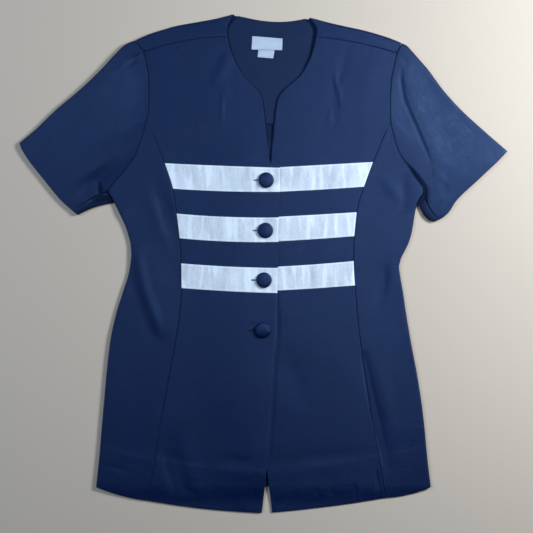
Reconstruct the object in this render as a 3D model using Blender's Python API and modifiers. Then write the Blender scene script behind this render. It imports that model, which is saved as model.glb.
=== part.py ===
"""Collarless short-sleeved suit jacket, laid flat with its front up.

Tables are in millimetres, seen from above: x to the wearer's left, y towards the neck, z up from
the surface it lies on. Right and left are the wearer's. Each piece of cloth is a surface through
its sections, the outside of the cloth, thickened inwards.
"""

import math
from collections import namedtuple

import bmesh
import bpy
import numpy as np

# Sizes of the cloth and of the layers
MM = 0.001
CLOTH = 1.2
BAND_CLOTH = 1.0
FACING_CLOTH = 1.0
LABEL_CLOTH = 1.0
GAP = 0.3
REST_HEIGHT = 3.8
FACING_RAISE = 1.3
SHOULDER_RAISE = 3.2
SIDE_RAISE = 1.5
HEM_DROP = 2.0
ROLL_DEPTH = 2.7
LAP_RAISE = CLOTH + BAND_CLOTH + 2 * GAP
LAP_SLOPE = 34.0
CUFF_HEIGHT = 5.4
SLEEVE_RAISE = 1.4
SLEEVE_WIDTH = 138.0
UNDERARM_GAP = 0.9

# Number of faces across each kind of piece
SIDE_FACES = 7
CENTRE_FACES = 14
SHOULDER_FACES = 7
NECK_FACES = 5
SLEEVE_FACES = 12
# Half of a fold's round edge, from its seam: shares of its depth and of its height
Turn = namedtuple("Turn", "depth height")
ROLL = (Turn(0.0, 0.0), Turn(0.0, 0.2), Turn(0.17, 0.64), Turn(0.53, 0.92))
SHOULDER_ANGLES = (-90.0, -54.0, -18.0, 18.0, 54.0, 90.0)
STRIP_FACES = 2
LAST_SIDE = 17

# Buttons
BUTTON_RADIUS = 11.3
BUTTON_HEIGHT = 5.2
BUTTON_SEGMENTS = 24
SHANK_RADIUS = 0.6
HOLE_WIDTH = 1.8

# Sections of a front from the hem up to the armhole, each running from the side fold over the
# princess seam to the front edge. The bow lifts the middle of its centre panel.
Section = namedtuple("Section", "place side_x side_y seam_x seam_y edge_x edge_y bow")
FRONT_RIGHT = (
    Section("hem", -243.0, -324.0, -168.0, -344.5, -2.5, -362.1, -3.0),
    Section("top of hem", -238.5, -282.0, -161.0, -302.0, 2.5, -320.0, -2.5),
    Section("skirt", -235.0, -240.0, -154.0, -255.0, 6.5, -268.0, -2.0),
    Section("skirt", -231.0, -195.0, -145.5, -208.0, 10.5, -215.0, -1.5),
    Section("hip", -227.0, -152.0, -136.5, -161.0, 14.0, -165.0, -1.0),
    Section("hip", -222.0, -110.0, -128.0, -115.0, 18.0, -118.0, -1.0),
    Section("below the bands", -213.5, -72.0, -121.5, -73.0, 19.8, -78.0, -1.0),
    Section("third band, lower", -203.5, -40.0, -118.8, -35.4, 20.2, -42.6, -1.0),
    Section("third band, middle", -196.5, -18.0, -118.9, -17.5, 20.5, -24.4, -1.2),
    Section("third band, upper", -193.0, 1.0, -119.3, 0.4, 20.9, -6.2, -1.4),
    Section("waist", -191.8, 14.5, -120.4, 18.6, 21.1, 12.6, -1.8),
    Section("second band, lower", -193.0, 28.5, -121.7, 36.9, 21.4, 31.4, -2.2),
    Section("second band, middle", -195.8, 40.5, -123.6, 54.8, 21.7, 49.2, -2.1),
    Section("second band, upper", -199.5, 52.0, -125.9, 72.6, 22.2, 66.9, -2.0),
    Section("between bands", -204.0, 62.5, -128.2, 90.6, 22.9, 85.4, -1.8),
    Section("first band, lower", -208.5, 72.0, -131.1, 108.7, 23.6, 103.9, -1.6),
    Section("first band, middle", -213.0, 81.0, -136.6, 127.2, 23.9, 121.4, -1.0),
    Section("first band, upper", -217.0, 89.0, -143.0, 145.7, 24.0, 138.8, -0.5),
    Section("corner of the front", -219.5, 93.5, -146.6, 154.4, 22.6, 143.6, 0.0),
    Section("notch", -221.6, 97.0, -150.4, 163.8, 10.2, 147.4, 0.0),
    Section("above the notch", -224.0, 100.2, -159.6, 186.4, 5.8, 170.0, 0.0),
    Section("armhole", -226.4, 103.6, -169.0, 208.0, 2.9, 203.0, 0.0),
)
FRONT_LEFT = (
    Section("hem", 243.0, -324.0, 177.0, -340.0, 12.6, -361.2, -2.0),
    Section("top of hem", 238.0, -282.0, 170.0, -300.0, 7.5, -319.0, -2.0),
    Section("skirt", 234.5, -244.0, 162.0, -252.0, -2.0, -262.0, -1.5),
    Section("skirt", 229.8, -203.0, 154.5, -207.0, -8.0, -213.0, -1.0),
    Section("hip", 223.5, -163.0, 147.8, -162.0, -13.0, -165.0, -1.0),
    Section("hip", 215.4, -120.0, 141.0, -117.0, -17.5, -118.0, -1.0),
    Section("below the bands", 208.0, -77.0, 136.0, -73.0, -19.0, -77.0, -1.0),
    Section("third band, lower", 202.5, -40.0, 132.8, -31.5, -19.0, -40.6, -0.9),
    Section("third band, middle", 199.0, -20.0, 131.6, -14.0, -19.0, -23.2, -1.0),
    Section("third band, upper", 197.0, -3.5, 130.8, 3.8, -19.0, -6.0, -1.2),
    Section("waist", 199.8, 8.0, 131.0, 21.6, -19.0, 12.4, -1.0),
    Section("second band, lower", 205.5, 19.0, 131.8, 39.9, -18.6, 30.6, -0.8),
    Section("second band, middle", 210.6, 29.5, 133.4, 57.2, -18.5, 48.4, -0.5),
    Section("second band, upper", 214.6, 42.0, 135.3, 74.6, -18.5, 66.0, -0.3),
    Section("between bands", 217.2, 55.0, 139.4, 93.0, -18.0, 85.0, -0.6),
    Section("first band, lower", 219.0, 67.0, 145.8, 111.6, -17.6, 102.8, -0.9),
    Section("first band, middle", 221.0, 78.0, 152.2, 129.6, -17.4, 120.4, -0.5),
    Section("first band, upper", 223.6, 87.0, 158.9, 147.4, -17.0, 137.6, 0.0),
    Section("corner of the front", 226.0, 91.6, 162.2, 155.6, -13.0, 143.2, 0.0),
    Section("notch", 228.2, 95.0, 166.6, 165.0, 10.2, 148.4, 0.0),
    Section("above the notch", 230.2, 98.4, 175.0, 186.4, 12.6, 171.6, 0.0),
    Section("armhole", 232.0, 102.0, 184.0, 206.0, 15.8, 203.0, 0.0),
)

# Sections above that, each running from the armhole to the neckline
Yoke = namedtuple("Yoke", "arm_x arm_y edge_x edge_y bow")
YOKE_RIGHT = (
    Yoke(-167.2, 220.6, 1.2, 219.0, 0.0),
    Yoke(-166.2, 233.0, -0.6, 232.0, 0.0),
    Yoke(-165.9, 246.0, -3.0, 243.0, 0.0),
    Yoke(-166.0, 258.4, -9.6, 253.2, 0.4),
    Yoke(-166.6, 270.0, -20.4, 263.2, 0.8),
    Yoke(-167.8, 280.4, -33.4, 278.4, 1.6),
    Yoke(-169.2, 289.8, -43.6, 298.6, 2.6),
    Yoke(-171.0, 298.6, -49.8, 315.4, 3.8),
    Yoke(-173.2, 307.0, -52.2, 329.0, 5.0),
)
YOKE_LEFT = (
    Yoke(183.6, 219.6, 17.4, 218.6, 0.0),
    Yoke(183.4, 232.4, 19.2, 232.0, 0.0),
    Yoke(183.7, 245.4, 23.2, 243.6, 0.0),
    Yoke(184.4, 257.4, 30.6, 253.4, 0.4),
    Yoke(185.4, 268.0, 41.4, 262.0, 0.8),
    Yoke(187.0, 278.0, 53.6, 273.2, 1.4),
    Yoke(189.0, 287.2, 63.8, 289.2, 2.0),
    Yoke(191.0, 296.2, 71.4, 308.0, 2.6),
    Yoke(193.2, 305.0, 76.2, 329.0, 3.2),
)

# Seams and edges in plan, each from its first named end to the other
Point = namedtuple("Point", "x y")
ARMHOLE_RIGHT = (Point(-226.4, 103.6), Point(-221.0, 112.0), Point(-213.4, 121.6), Point(-202.0, 135.0),
                 Point(-188.4, 152.6), Point(-177.4, 181.0), Point(-169.0, 208.0))
ARMHOLE_LEFT = (Point(232.0, 102.0), Point(229.6, 112.4), Point(221.0, 123.4), Point(209.4, 141.4),
                Point(197.4, 160.0), Point(189.4, 183.0), Point(184.0, 206.0))
BACK_ARM_RIGHT = (Point(-208.6, 105.0), Point(-198.0, 128.0), Point(-187.6, 160.0), Point(-181.6, 200.0),
                  Point(-178.2, 240.0), Point(-177.6, 274.0), Point(-179.6, 298.0))
BACK_ARM_LEFT = (Point(214.0, 104.0), Point(203.6, 128.0), Point(195.2, 160.0), Point(190.6, 198.0),
                 Point(188.2, 237.0), Point(189.0, 271.0), Point(192.8, 296.0))
SHOULDER_RIGHT = (Point(-185.0, 324.4), Point(-164.0, 333.6), Point(-146.0, 339.2), Point(-127.0, 344.8),
                  Point(-95.0, 350.6), Point(-63.0, 356.6), Point(-42.4, 362.3))
SHOULDER_LEFT = (Point(200.4, 320.2), Point(182.0, 327.6), Point(165.0, 333.0), Point(144.0, 338.8),
                 Point(117.0, 344.6), Point(92.0, 350.4), Point(66.4, 357.4))
NECKLINE = (Point(-42.4, 362.3), Point(-25.4, 356.2), Point(-9.0, 352.8), Point(8.0, 351.1),
            Point(25.0, 350.9), Point(41.0, 352.0), Point(54.6, 354.0), Point(66.4, 357.4))
SLEEVE_TOP_RIGHT = (Point(-354.0, 175.4), Point(-331.0, 194.6), Point(-301.0, 223.0), Point(-266.0, 252.4),
                    Point(-235.6, 281.4), Point(-214.6, 304.2), Point(-202.0, 316.4), Point(-193.4, 321.4),
                    Point(-185.0, 324.4))
SLEEVE_TOP_LEFT = (Point(354.0, 163.4), Point(318.4, 194.2), Point(286.6, 223.2), Point(260.4, 252.0),
                   Point(238.8, 281.2), Point(224.0, 298.4), Point(214.0, 309.8), Point(207.6, 316.6),
                   Point(200.4, 320.2))
CUFF_RIGHT = (Point(-354.0, 175.4), Point(-351.4, 167.8), Point(-343.0, 153.4), Point(-320.0, 123.6),
              Point(-295.0, 93.2), Point(-281.0, 80.2), Point(-269.6, 70.6))
CUFF_LEFT = (Point(354.0, 163.4), Point(342.0, 150.4), Point(311.4, 121.4), Point(281.0, 92.6),
             Point(268.0, 73.6), Point(256.4, 64.4), Point(246.4, 61.0))
UNDERARM_RIGHT = (Point(-269.6, 70.6), Point(-253.4, 78.6), Point(-238.0, 84.2), Point(-217.9, 89.0))
UNDERARM_LEFT = (Point(246.4, 61.0), Point(240.0, 63.6), Point(233.0, 70.0), Point(224.4, 86.4))

# Largest folds: a valley where the lift is negative, along a straight line and fading at its ends
Fold = namedtuple("Fold", "from_x from_y to_x to_y width lift")
FOLDS = (
    Fold(-191.0, 21.0, -176.0, -37.0, 9.0, -0.9),
    Fold(-176.0, -37.0, -158.0, -74.0, 9.0, -0.8),
    Fold(-176.0, 34.0, -160.0, -24.0, 9.0, 0.8),
    Fold(-148.0, 107.0, -126.0, 30.0, 10.0, -0.8),
    Fold(-166.0, 96.0, -143.0, 30.0, 9.0, 0.9),
    Fold(-214.0, 66.0, -188.0, 92.0, 8.0, 1.0),
    Fold(179.0, -8.0, 163.0, -64.0, 11.0, -0.8),
    Fold(190.0, 12.0, 178.0, -50.0, 10.0, 0.9),
    Fold(145.0, -138.0, 166.0, -232.0, 11.0, -0.9),
    Fold(166.0, -232.0, 184.0, -306.0, 11.0, -0.9),
    Fold(160.0, -130.0, 186.0, -236.0, 12.0, 0.7),
    Fold(37.0, -150.0, 56.0, -194.0, 14.0, -0.7),
    Fold(-137.0, -268.0, -115.0, -344.0, 14.0, -0.8),
    Fold(-112.0, -262.0, -92.0, -350.0, 14.0, 0.7),
    Fold(-61.0, 272.0, -62.0, 206.0, 8.0, -0.7),
    Fold(104.0, 268.0, 100.0, 194.0, 8.0, -0.7),
    Fold(-148.0, 290.0, -118.0, 236.0, 16.0, 0.7),
    Fold(164.0, 290.0, 138.0, 232.0, 16.0, 0.7),
    Fold(200.0, 92.0, 176.0, 120.0, 9.0, 1.0),
    Fold(-222.0, 137.0, -262.0, 106.0, 11.0, -2.6),
    Fold(-222.0, 116.0, -246.0, 96.0, 8.0, 1.6),
    Fold(-214.0, 152.0, -268.0, 126.0, 13.0, 1.2),
    Fold(-178.0, 304.0, -194.0, 288.0, 7.0, -1.4),
    Fold(202.0, 280.0, 206.0, 248.0, 9.0, -1.8),
    Fold(206.0, 248.0, 230.0, 180.0, 9.0, -2.6),
    Fold(230.0, 180.0, 246.0, 138.0, 9.0, -2.2),
    Fold(222.0, 262.0, 252.0, 176.0, 13.0, 1.4),
    Fold(236.0, 126.0, 240.0, 92.0, 8.0, -2.4),
    Fold(252.0, 118.0, 252.0, 84.0, 9.0, 1.2),
)

# Buttons, with how far each buttonhole shows to the right front's side of the button
Button = namedtuple("Button", "x y hole")
BUTTONS = (
    Button(3.8, 120.8, 17.2),
    Button(2.8, 48.0, 17.2),
    Button(0.8, -23.8, 17.4),
    Button(-1.0, -96.4, 21.4),
)

# Bands, between two sections of a front
Band = namedtuple("Band", "number lower upper")
BANDS = (
    Band(1, "first band, lower", "first band, upper"),
    Band(2, "second band, lower", "second band, upper"),
    Band(3, "third band, lower", "third band, upper"),
)

# Facing inside the back neck, from its lower edge up to the neckline
Facing = namedtuple("Facing", "left_x left_y right_x right_y bow")
FACING = (
    Facing(-64.0, 207.0, 92.0, 207.0, -5.0),
    Facing(-68.0, 240.0, 95.0, 240.0, -4.0),
    Facing(-71.0, 276.0, 97.0, 276.0, -3.0),
    Facing(-70.0, 310.0, 96.0, 308.0, -2.0),
    Facing(-58.0, 338.0, 84.0, 335.0, -2.0),
)
Corner = namedtuple("Corner", "x y")
LABEL = (Corner(-17.2, 310.8), Corner(27.2, 309.8), Corner(27.8, 326.6), Corner(-16.2, 330.2))
CARE_TAB = (Corner(-8.4, 299.8), Corner(14.2, 297.8), Corner(16.2, 309.5), Corner(-7.4, 310.0))

# One point of the edge that a sleeve is sewn to: the share of the sleeve's width from its top fold,
# 1 above and -1 beneath, and the part of the edge
Rim = namedtuple("Rim", "point share layer part")

# Curves already worked out
TRACKS = {}

# Cloths: colour, roughness
Cloth = namedtuple("Cloth", "name colour roughness")
NAVY = Cloth("navy gabardine", (0.017, 0.028, 0.085, 1.0), 0.82)
INSIDE = Cloth("navy facing", (0.014, 0.023, 0.068, 1.0), 0.86)
WHITE = Cloth("white gabardine", (0.62, 0.68, 0.82, 1.0), 0.7)
LABEL_WHITE = Cloth("woven label", (0.7, 0.75, 0.86, 1.0), 0.6)


def smooth(start, end, value):
    """A soft step from 0 at the start to 1 at the end, also where the end is the lower one."""
    share = min(1.0, max(0.0, (value - start) / (end - start)))
    return share * share * (3.0 - 2.0 * share)


def plan(point):
    """The x and y of a named point."""
    return np.array([point.x, point.y])


def along(points, share):
    """The point at a share of the length of a smooth curve through these points."""
    if points not in TRACKS:
        TRACKS[points] = track_of(points)
    track, lengths = TRACKS[points]
    target = share * lengths[-1]
    return np.array([np.interp(target, lengths, track[:, axis]) for axis in (0, 1)])


def track_of(points):
    """Many points of the smooth curve through these points, and how far along it each lies."""
    knots = np.array([plan(point) for point in points])
    steps = np.sqrt(np.linalg.norm(np.diff(knots, axis=0), axis=1))
    times = np.concatenate([[0.0], np.cumsum(steps)])
    slopes = np.gradient(knots, times, axis=0)
    fine = np.linspace(0.0, times[-1], 161)
    track = np.array([hermite(knots, times, slopes, moment) for moment in fine])
    lengths = np.concatenate([[0.0], np.cumsum(np.linalg.norm(np.diff(track, axis=0), axis=1))])
    return track, lengths


def hermite(knots, times, slopes, moment):
    """A cubic through the two knots on either side of this moment, with their slopes."""
    index = min(len(times) - 2, max(0, int(np.searchsorted(times, moment) - 1)))
    span = times[index + 1] - times[index]
    part = (moment - times[index]) / span
    first = (1 + 2 * part) * (1 - part) ** 2 * knots[index]
    second = part * part * (3 - 2 * part) * knots[index + 1]
    leaving = part * (1 - part) ** 2 * span * slopes[index]
    arriving = part * part * (part - 1) * span * slopes[index + 1]
    return first + second + leaving + arriving


def relief(x, y):
    """The lift of the folds at a place."""
    lift = 0.0
    here = np.array([x, y])
    for fold in FOLDS:
        start = np.array([fold.from_x, fold.from_y])
        line = np.array([fold.to_x, fold.to_y]) - start
        share = min(1.0, max(0.0, float(np.dot(here - start, line) / np.dot(line, line))))
        distance = float(np.linalg.norm(here - start - share * line))
        lift += fold.lift * math.exp(-((distance / fold.width) ** 2))
    return lift


def lie(x, y):
    """The height of the outside of the upper layer, over the back and its facing."""
    height = REST_HEIGHT
    height += FACING_RAISE * smooth(172.0, 212.0, y)
    height += SHOULDER_RAISE * smooth(250.0, 336.0, y)
    height -= HEM_DROP * smooth(-321.0, -350.0, y)
    return height + relief(x, y)


def lap(x, y):
    """How far the right front is lifted by the left front and its bands beneath it."""
    rows = sorted(FRONT_LEFT, key=lambda row: row.edge_y)
    under = float(np.interp(y, [row.edge_y for row in rows[:18]], [row.edge_x for row in rows[:18]]))
    ends = smooth(-345.0, -300.0, y) * smooth(198.0, 158.0, y)
    return LAP_RAISE * ends * smooth(under - LAP_SLOPE, under - 3.0, x)


def lifted(x, y, right):
    """The height of the outside of a front."""
    return lie(x, y) + (lap(x, y) if right else 0.0)


def centre_rows(sections, yokes, right):
    """The grid of a centre panel, from its outer seam to its edge, a row for each section."""
    ends = [((row.seam_x, row.seam_y), (row.edge_x, row.edge_y), row.bow) for row in sections]
    ends += [((row.arm_x, row.arm_y), (row.edge_x, row.edge_y), row.bow) for row in yokes]
    grid = []
    for outer, inner, bow in ends:
        row = []
        for column in range(CENTRE_FACES + 1):
            share = column / CENTRE_FACES
            x, y = (1 - share) * np.array(outer) + share * np.array(inner)
            y += 4 * bow * share * (1 - share)
            row.append((x, y, lifted(x, y, right)))
        grid.append(row)
    return np.array(grid)


def side_path(sections, armhole, index, share):
    """The plan of one section of a side panel, from its fold at 0 to the princess seam at 1."""
    row = sections[index]
    fold = np.array([row.side_x, row.side_y])
    seam = np.array([row.seam_x, row.seam_y])
    tip, top = plan(armhole[0]), plan(armhole[-1])
    curve = along(armhole, share) - ((1 - share) * tip + share * top)
    bend = smooth(8, len(sections) - 1, index)
    sag = 4 * share * (1 - share) * (-3.0 if index == 0 else 0.0)
    return (1 - share) * fold + share * seam + bend * curve + np.array([0.0, sag])


def side_height(x, y, share):
    """The height of a side panel, which stands up to its fold."""
    return lie(x, y) + SIDE_RAISE * (1 - share) ** 3


def side_rows(sections, armhole):
    """The grid of a side panel: round its fold, then over to the princess seam."""
    grid = []
    for index in range(len(sections)):
        length = np.linalg.norm(
            side_path(sections, armhole, index, 1.0) - side_path(sections, armhole, index, 0.0)
        )
        start = ROLL_DEPTH / length
        x, y = side_path(sections, armhole, index, start)
        top = side_height(x, y, 0.0)
        middle = 0.5 * (top + GAP)
        row = []
        for turn in ROLL:
            x, y = side_path(sections, armhole, index, start * turn.depth)
            row.append((x, y, middle + (top - middle) * turn.height))
        for column in range(SIDE_FACES + 1):
            part = column / SIDE_FACES
            share = start + (1 - start) * part
            if column == SIDE_FACES:
                share -= GAP / length
            x, y = side_path(sections, armhole, index, share)
            row.append((x, y, side_height(x, y, part)))
        grid.append(row)
    return np.array(grid)


def column_shares():
    """Where the columns of the back stand across it: a shoulder, the neck, a shoulder."""
    neck_start = (NECKLINE[0].x - SHOULDER_RIGHT[0].x) / (SHOULDER_LEFT[0].x - SHOULDER_RIGHT[0].x)
    neck_end = (NECKLINE[-1].x - SHOULDER_RIGHT[0].x) / (SHOULDER_LEFT[0].x - SHOULDER_RIGHT[0].x)
    shares = list(np.linspace(0.0, neck_start, SHOULDER_FACES + 1))
    shares += list(np.linspace(neck_start, neck_end, NECK_FACES + 1))[1:]
    shares += list(np.linspace(neck_end, 1.0, SHOULDER_FACES + 1))[1:]
    return shares


def strip_column(column):
    """One column over a shoulder: its place on the fold, on the seam, and the neckline's bow."""
    last = SHOULDER_FACES
    if column <= last:
        share = column / last
        fold = along(SHOULDER_RIGHT, share)
        seam = seam_point(YOKE_RIGHT[-1], share)
        return fold, seam, np.array([-4.6 * share**3, 0.0])
    share = (2 * last + NECK_FACES - column) / last
    fold = along(SHOULDER_LEFT, share)
    seam = seam_point(YOKE_LEFT[-1], share)
    return fold, seam, np.array([5.0 * share**3, 0.0])


def seam_point(row, share):
    """A place on a forward shoulder seam, from the armhole at 0 to the neckline at 1."""
    x = (1 - share) * row.arm_x + share * row.edge_x
    y = (1 - share) * row.arm_y + share * row.edge_y
    return np.array([x, y + 4 * row.bow * share * (1 - share)])


def over_shoulder(column):
    """The points of one column from the flat back round the shoulder fold to the seam."""
    fold, seam, bow = strip_column(column)
    reach = seam - fold
    length = np.linalg.norm(reach)
    inward = reach / length
    edge = fold + inward * ROLL_DEPTH * 1.5
    top = lie(*edge)
    points = []
    for angle in SHOULDER_ANGLES:
        turn = math.radians(angle)
        x, y = fold + inward * ROLL_DEPTH * 1.5 * (1 - math.cos(turn))
        points.append((x, y, 0.5 * top * (1 + math.sin(turn))))
    for step in range(1, STRIP_FACES + 1):
        share = step / STRIP_FACES
        x, y = (1 - share) * edge + share * (seam - inward * GAP)
        x += 4 * bow[0] * share * (1 - share)
        points.append((x, y, lie(*seam) if step == STRIP_FACES else 0.5 * (top + lie(*seam))))
    return points


def back_top(column):
    """Where a column of the flat back ends: under a shoulder fold or at the neckline."""
    if SHOULDER_FACES < column < SHOULDER_FACES + NECK_FACES:
        return along(NECKLINE, (column - SHOULDER_FACES) / NECK_FACES)
    return np.array(over_shoulder(column)[0][:2])


def back_rows():
    """The flat part of the back, a row for each section of the fronts and then of the armholes."""
    shares = column_shares()
    tops = np.array([back_top(column) for column in range(len(shares))])
    rights = [(row.side_x, row.side_y) for row in FRONT_RIGHT[: LAST_SIDE + 1]]
    rights += [tuple(point) for point in BACK_ARM_RIGHT]
    lefts = [(row.side_x, row.side_y) for row in FRONT_LEFT[: LAST_SIDE + 1]]
    lefts += [tuple(point) for point in BACK_ARM_LEFT]
    grid = []
    for index, (right, left) in enumerate(zip(rights, lefts)):
        inset = ROLL_DEPTH if index <= LAST_SIDE else 0.0
        start = np.array(right) + np.array([inset, 0.0])
        end = np.array(left) - np.array([inset, 0.0])
        rise = smooth(LAST_SIDE - 3, len(rights) - 1 + 1.5, index)
        row = []
        for share, top in zip(shares, tops):
            level = (1 - share) * tops[0] + share * tops[-1]
            x, y = (1 - share) * start + share * end + rise * (top - level)
            row.append((x, y, 0.0))
        grid.append(row)
    grid.append([(x, y, 0.0) for x, y in tops])
    return np.array(grid)


def side_roll(row, inward):
    """The back's half of a side fold at one section, from the seam down to the surface."""
    armhole = ARMHOLE_RIGHT if inward > 0 else ARMHOLE_LEFT
    sections = FRONT_RIGHT if inward > 0 else FRONT_LEFT
    index = sections.index(row)
    length = math.hypot(row.seam_x - row.side_x, row.seam_y - row.side_y)
    x, y = side_path(sections, armhole, index, ROLL_DEPTH / length)
    middle = 0.5 * (side_height(x, y, 0.0) - GAP)
    points = []
    for turn in ROLL:
        depth = ROLL_DEPTH * turn.depth
        points.append((row.side_x + inward * depth, row.side_y, middle * (1 - turn.height)))
    return points


def mesh_object(name, points, faces, cloth, group):
    """A mesh object of this cloth, from points in millimetres."""
    mesh = bpy.data.meshes.new(name)
    mesh.from_pydata([tuple(MM * value for value in point) for point in points], [], faces)
    mesh.materials.append(material_of(cloth))
    mesh.validate()
    built = bpy.data.objects.new(name, mesh)
    group.objects.link(built)
    return built


def material_of(cloth):
    """The material of a cloth, made once."""
    found = bpy.data.materials.get(cloth.name)
    if found:
        return found
    made = bpy.data.materials.new(cloth.name)
    made.use_nodes = True
    shader = made.node_tree.nodes["Principled BSDF"]
    shader.inputs["Base Color"].default_value = cloth.colour
    shader.inputs["Roughness"].default_value = cloth.roughness
    shader.inputs["Metallic"].default_value = 0.0
    made.diffuse_color = cloth.colour
    return made


def thicken(built, thickness):
    """The cloth of a piece, laid inwards from its outside."""
    wall = built.modifiers.new("cloth", "SOLIDIFY")
    wall.thickness = thickness * MM
    wall.offset = -1.0
    wall.use_even_offset = False
    wall.use_quality_normals = True


def grid_faces(rows, columns, turned, closed=False):
    """The faces of a grid of points, facing the other way if turned."""
    faces = []
    for row in range(rows - 1):
        for column in range(columns if closed else columns - 1):
            after = (column + 1) % columns
            face = [row * columns + column, row * columns + after,
                    (row + 1) * columns + after, (row + 1) * columns + column]
            faces.append(face[::-1] if turned else face)
    return faces


def grid_object(name, grid, cloth, thickness, turned, group):
    """A piece of cloth from a grid of points on its outside."""
    rows, columns = grid.shape[:2]
    built = mesh_object(name, grid.reshape(-1, 3), grid_faces(rows, columns, turned), cloth, group)
    thicken(built, thickness)
    return built


def outward(grid, turned):
    """The direction out of the cloth at each point of a grid."""
    across = np.gradient(grid, axis=1)
    upward = np.gradient(grid, axis=0)
    normals = np.cross(across, upward) * (-1.0 if turned else 1.0)
    return normals / np.linalg.norm(normals, axis=2, keepdims=True)


def back_object(group):
    """The back: its flat part, both side rolls and both shoulders."""
    flat = back_rows()
    rows, columns = flat.shape[:2]
    points = [tuple(point) for point in flat.reshape(-1, 3)]
    faces = grid_faces(rows, columns, True)
    for sections, column, inward in ((FRONT_RIGHT, 0, 1.0), (FRONT_LEFT, columns - 1, -1.0)):
        lines = []
        for index, row in enumerate(sections[: LAST_SIDE + 1]):
            first = len(points)
            points += side_roll(row, inward)
            lines.append(list(range(first, first + len(ROLL))) + [index * columns + column])
        faces += bridge(lines, turned=inward > 0)
    for start, end in ((0, SHOULDER_FACES), (SHOULDER_FACES + NECK_FACES, columns - 1)):
        lines = []
        for column in range(start, end + 1):
            first = len(points)
            points += over_shoulder(column)[1:]
            count = len(over_shoulder(column)) - 1
            lines.append([(rows - 1) * columns + column] + list(range(first, first + count)))
        faces += bridge(lines, turned=False)
    built = mesh_object("back", points, faces, NAVY, group)
    thicken(built, CLOTH)
    return built


def bridge(lines, turned):
    """The faces between each line of point numbers and the next."""
    faces = []
    for one, two in zip(lines, lines[1:]):
        for step in range(len(one) - 1):
            face = [one[step], one[step + 1], two[step + 1], two[step]]
            faces.append(face[::-1] if turned else face)
    return faces


def armhole_ring(centre, side, sections, right):
    """The closed edge that a sleeve is sewn to, point by point, with where each lies on a sleeve.

    It starts under the shoulder fold, goes round the fold, down the front armhole and round its
    tip, then round the side fold and back up the armhole of the back.
    """
    shoulder = over_shoulder(0 if right else 2 * SHOULDER_FACES + NECK_FACES)
    turns = len(SHOULDER_ANGLES)
    front = [tuple(point) for point in shoulder[turns - 1 : -1]]
    front += [tuple(centre[index, 0]) for index in range(len(centre) - 1, len(sections) - 1, -1)]
    front += [tuple(point) for point in side[-1, ::-1]]
    front += [tuple(side[index, 0]) for index in range(len(sections) - 2, LAST_SIDE - 1, -1)]
    arm = BACK_ARM_RIGHT if right else BACK_ARM_LEFT
    corner = np.array(front[-1])
    inward = plan(arm[0]) - corner[:2]
    inward *= ROLL_DEPTH / np.linalg.norm(inward)
    under = []
    for turn in ROLL[1:]:
        x, y = corner[:2] + inward * turn.depth
        under.append((x, y, corner[2] * (1 - turn.height)))
    back = [(corner[0] + inward[0], corner[1] + inward[1], 0.0)]
    back += [(point.x, point.y, 0.0) for point in arm]
    start = ROLL_DEPTH / SLEEVE_WIDTH
    ring = []
    for angle, point in zip(SHOULDER_ANGLES[:-1], shoulder):
        depth = start * (1 - math.cos(math.radians(angle)))
        ring.append(Rim(point, depth, 1.0 if angle > 0 else -1.0, "shoulder"))
    for point, share in zip(front, shares_of(front)):
        ring.append(Rim(point, start + (1 - start) * share, 1.0, "front"))
    for turn, point in zip(ROLL[1:], under):
        ring.append(Rim(point, 1 - start * turn.depth, -1.0, "under"))
    for point, share in zip(back, shares_of(back + [shoulder[0]])):
        ring.append(Rim(point, 1 - start - (1 - 2 * start) * share, -1.0, "back"))
    return ring


def shares_of(points):
    """The share of the way along a line at each of its points."""
    flat = np.array([point[:2] for point in points])
    lengths = np.concatenate([[0.0], np.cumsum(np.linalg.norm(np.diff(flat, axis=0), axis=1))])
    return list(lengths / lengths[-1])


def roundness(share):
    """How far a sleeve's section has turned from its fold at 0 to its flat at 1."""
    depth = min(share, 1 - share) * SLEEVE_WIDTH / ROLL_DEPTH
    return math.sqrt(max(0.0, 1 - (1 - min(1.0, depth)) ** 2))


def sewn_edge(ring, top, right):
    """The armhole's edge moved into the sleeve by the seam's gap."""
    places = np.array([rim.point for rim in ring])
    moved = places.copy()
    along_top = along(top, 0.9) - along(top, 1.0)
    outward_x = np.array([-1.0 if right else 1.0, 0.0])
    for index, rim in enumerate(ring):
        ahead = places[(index + 1) % len(ring)] - places[index - 1]
        side = np.array([ahead[1], -ahead[0]]) * (1.0 if right else -1.0)
        side *= 1.0 if rim.part == "front" else -1.0
        if rim.part == "shoulder":
            side = along_top
        if rim.part == "under":
            side = outward_x
        near = max(smooth(0.8, 0.95, rim.share), 0.5 if rim.part == "shoulder" else 0.0)
        moved[index, :2] += side / np.linalg.norm(side) * (GAP + (UNDERARM_GAP - GAP) * near)
    return moved


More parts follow.
